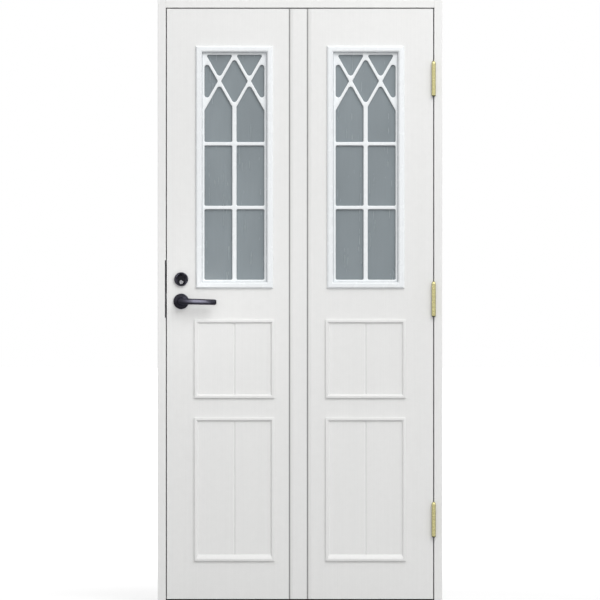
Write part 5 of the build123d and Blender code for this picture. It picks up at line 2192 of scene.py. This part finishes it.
@dataclass(frozen=True)
class Studio:
    """White floor, white background, soft light that is stronger from the upper right.

    Attributes:
        picture_width: Width that the picture covers at the door's face.
        picture_middle: Height of the picture's middle.
        lens: Focal length in millimetres, long so that the view is nearly flat.
        sensor: Sensor width in millimetres.
        far: How far the camera sees.
        floor: Floor's side.
        floor_grey: How much light the floor gives back.
        floor_roughness: The floor's roughness.
        floor_lift: Glow of the floor for the camera alone, near the door and far off.
        floor_reach: Distances between which that glow grows.
        ambient: Strength of the light from all round, against and along its heading.
        heading: Where the stronger light comes from.
        cards: The lamps.
    """

    picture_width: float = 2.0886
    picture_middle: float = 1.05466
    lens: float = 400.0
    sensor: float = 36.0
    far: float = 400.0
    floor: float = 160.0
    floor_grey: float = 0.45
    floor_roughness: float = 0.8
    floor_lift: Range = (0.40, 0.80)
    floor_reach: Range = (1.0, 7.0)
    ambient: Range = (0.25, 0.97)
    heading: Point = (0.60, -0.53, 0.60)
    cards: tuple[Card, ...] = (
        Card("key_card", (1.6, -3.6, 4.6), 3.0, 135.0, (0.0, 0.0, 1.2)),
        Card("lever_card", (-0.345, -0.52, 1.066), 0.08, 0.21, (-0.345, 0.0, 1.052)),
        Card("back_card", (-1.6, 4.4, 3.4), 3.0, 110.0, (0.0, 0.0, 1.1)),
    )

    def build(self, face: float) -> None:
        """Sets up the floor, the background, the lights and the camera.

        Args:
            face: Y of the door's outer face.
        """
        scene = bpy.context.scene
        scene.view_settings.view_transform = "Standard"
        self._world(scene)
        self._floor()
        for card in self.cards:
            card.build()
        self._camera(scene, Vector((0.0, face, self.picture_middle)))

    def _world(self, scene: bpy.types.Scene) -> None:
        """A white background, and a plain light that grows towards its heading.

        Args:
            scene: The scene.
        """
        scene.world = bpy.data.worlds.new("studio_world")
        scene.world.use_nodes = True
        graph = Graph(scene.world.node_tree)
        toward = graph.add("ShaderNodeTexCoord").outputs["Generated"]
        both = {0: toward, 1: self.heading}
        aligned = graph.add("ShaderNodeVectorMath", both, operation="DOT_PRODUCT").outputs["Value"]
        strength = graph.ranged(aligned, (-1.0, 1.0), self.ambient)
        light = graph.add("ShaderNodeBackground", {"Color": WHITE, "Strength": strength})
        white = graph.add("ShaderNodeBackground", {"Color": WHITE, "Strength": 1.0})
        path = graph.add("ShaderNodeLightPath").outputs
        seen = graph.maths("MAXIMUM", path["Is Camera Ray"], path["Is Transmission Ray"])
        mix = graph.add("ShaderNodeMixShader", {"Fac": graph.maths("MAXIMUM", seen, path["Is Glossy Ray"])})
        graph.feed(mix.inputs[1], light.outputs["Background"])
        graph.feed(mix.inputs[2], white.outputs["Background"])
        graph.add("ShaderNodeOutputWorld", {"Surface": mix.outputs["Shader"]})

    def _floor(self) -> None:
        """A pale floor that reads white and keeps the door's shadow."""
        half = self.floor / 2
        mesh = bpy.data.meshes.new("studio_floor")
        corners = [(-half, -half, 0.0), (half, -half, 0.0), (half, half, 0.0), (-half, half, 0.0)]
        mesh.from_pydata(corners, [], [(0, 1, 2, 3)])
        mesh.materials.append(self._floor_finish())
        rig.stage(linked("studio_floor", mesh))

    def _floor_finish(self) -> bpy.types.Material:
        """A matt grey that glows for the camera alone, more so far from the door.

        Returns:
            The new material.
        """
        material = bpy.data.materials.new("studio_floor")
        material.use_nodes = True
        graph = Graph(material.node_tree)
        away = graph.add("ShaderNodeVectorMath", {0: graph.place()}, operation="LENGTH").outputs["Value"]
        glow = graph.ranged(away, self.floor_reach, self.floor_lift)
        path = graph.add("ShaderNodeLightPath").outputs["Is Camera Ray"]
        grey = self.floor_grey
        looks = {"Base Color": (grey, grey, grey, 1.0), "Roughness": self.floor_roughness}
        looks |= {"Emission Color": WHITE, "Emission Strength": graph.maths("MULTIPLY", path, glow)}
        shader = graph.add("ShaderNodeBsdfPrincipled", looks)
        graph.add("ShaderNodeOutputMaterial", {"Surface": shader.outputs["BSDF"]})
        return material

    def _camera(self, scene: bpy.types.Scene, aim: Vector) -> None:
        """A level camera straight in front of the door.

        Args:
            scene: The scene.
            aim: The point that it looks at.
        """
        camera = bpy.data.cameras.new("camera")
        camera.lens = self.lens
        camera.sensor_width = self.sensor
        camera.clip_end = self.far
        viewer = linked("camera", camera)
        away = self.picture_width * self.lens / self.sensor
        viewer.location = aim - Vector((0.0, away, 0.0))
        viewer.rotation_euler = (math.pi / 2, 0.0, 0.0)
        scene.camera = viewer
        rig.stage(viewer)


def write_size(path: str) -> None:
    """Writes the whole part's bounds as two plain lists."""
    low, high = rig.bounds()
    with open(path, "w", encoding="utf-8") as file:
        json.dump([list(low), list(high)], file)


def dress_nodes(paintbox: Paintbox) -> None:
    """Gives every carried-over solid the finish of its slot.

    Args:
        paintbox: Where the materials come from.
    """
    slots = {part["node"]: Slot(part["material_slot"]) for part in frame["record"]["subparts"]}
    for node, objects in frame["nodes"].items():
        for obj in objects if isinstance(objects, (list, tuple)) else [objects]:
            paintbox.coat(obj, FINISHES[slots[node]])
    LOG.info("finishes laid on %d nodes", len(frame["nodes"]))


def build_leaf(bench: Bench) -> None:
    """Builds the windows and the panels' borders.

    Args:
        bench: The bench that finishes and fits the pieces.
    """
    lattice = LatticePattern()
    for side in Side:
        WindowLight(side).build(bench, lattice)
        for inside in (False, True):
            PanelMoulding("upper", side, inside).build(bench)
            PanelMoulding("lower", side, inside, sill=0.022).build(bench)


def build_screws(bench: Bench) -> None:
    """Sets every screw.

    Args:
        bench: The bench that finishes and fits the pieces.
    """
    screw = WoodScrew().build()
    pattern = ScrewPattern()
    for screws in screw_sets():
        screws.build(bench, pattern, screw)
    bpy.data.objects.remove(screw)


def main() -> None:
    """Builds the dressed door and its studio."""
    logging.basicConfig(level=logging.INFO, format="%(name)s: %(message)s")
    write_size(SIZE_FILE)
    paintbox = Paintbox()
    dress_nodes(paintbox)
    bench = Bench(paintbox)
    build_leaf(bench)
    LockFurniture().build(bench)
    build_screws(bench)
    SealProfile().build(bench)
    Studio().build(face=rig.box("outer_skin")[0][1])
    LOG.info("%d pieces fitted", bench.count)
    write_size(SIZE_FILE)


if __name__ == "__main__":
    main()
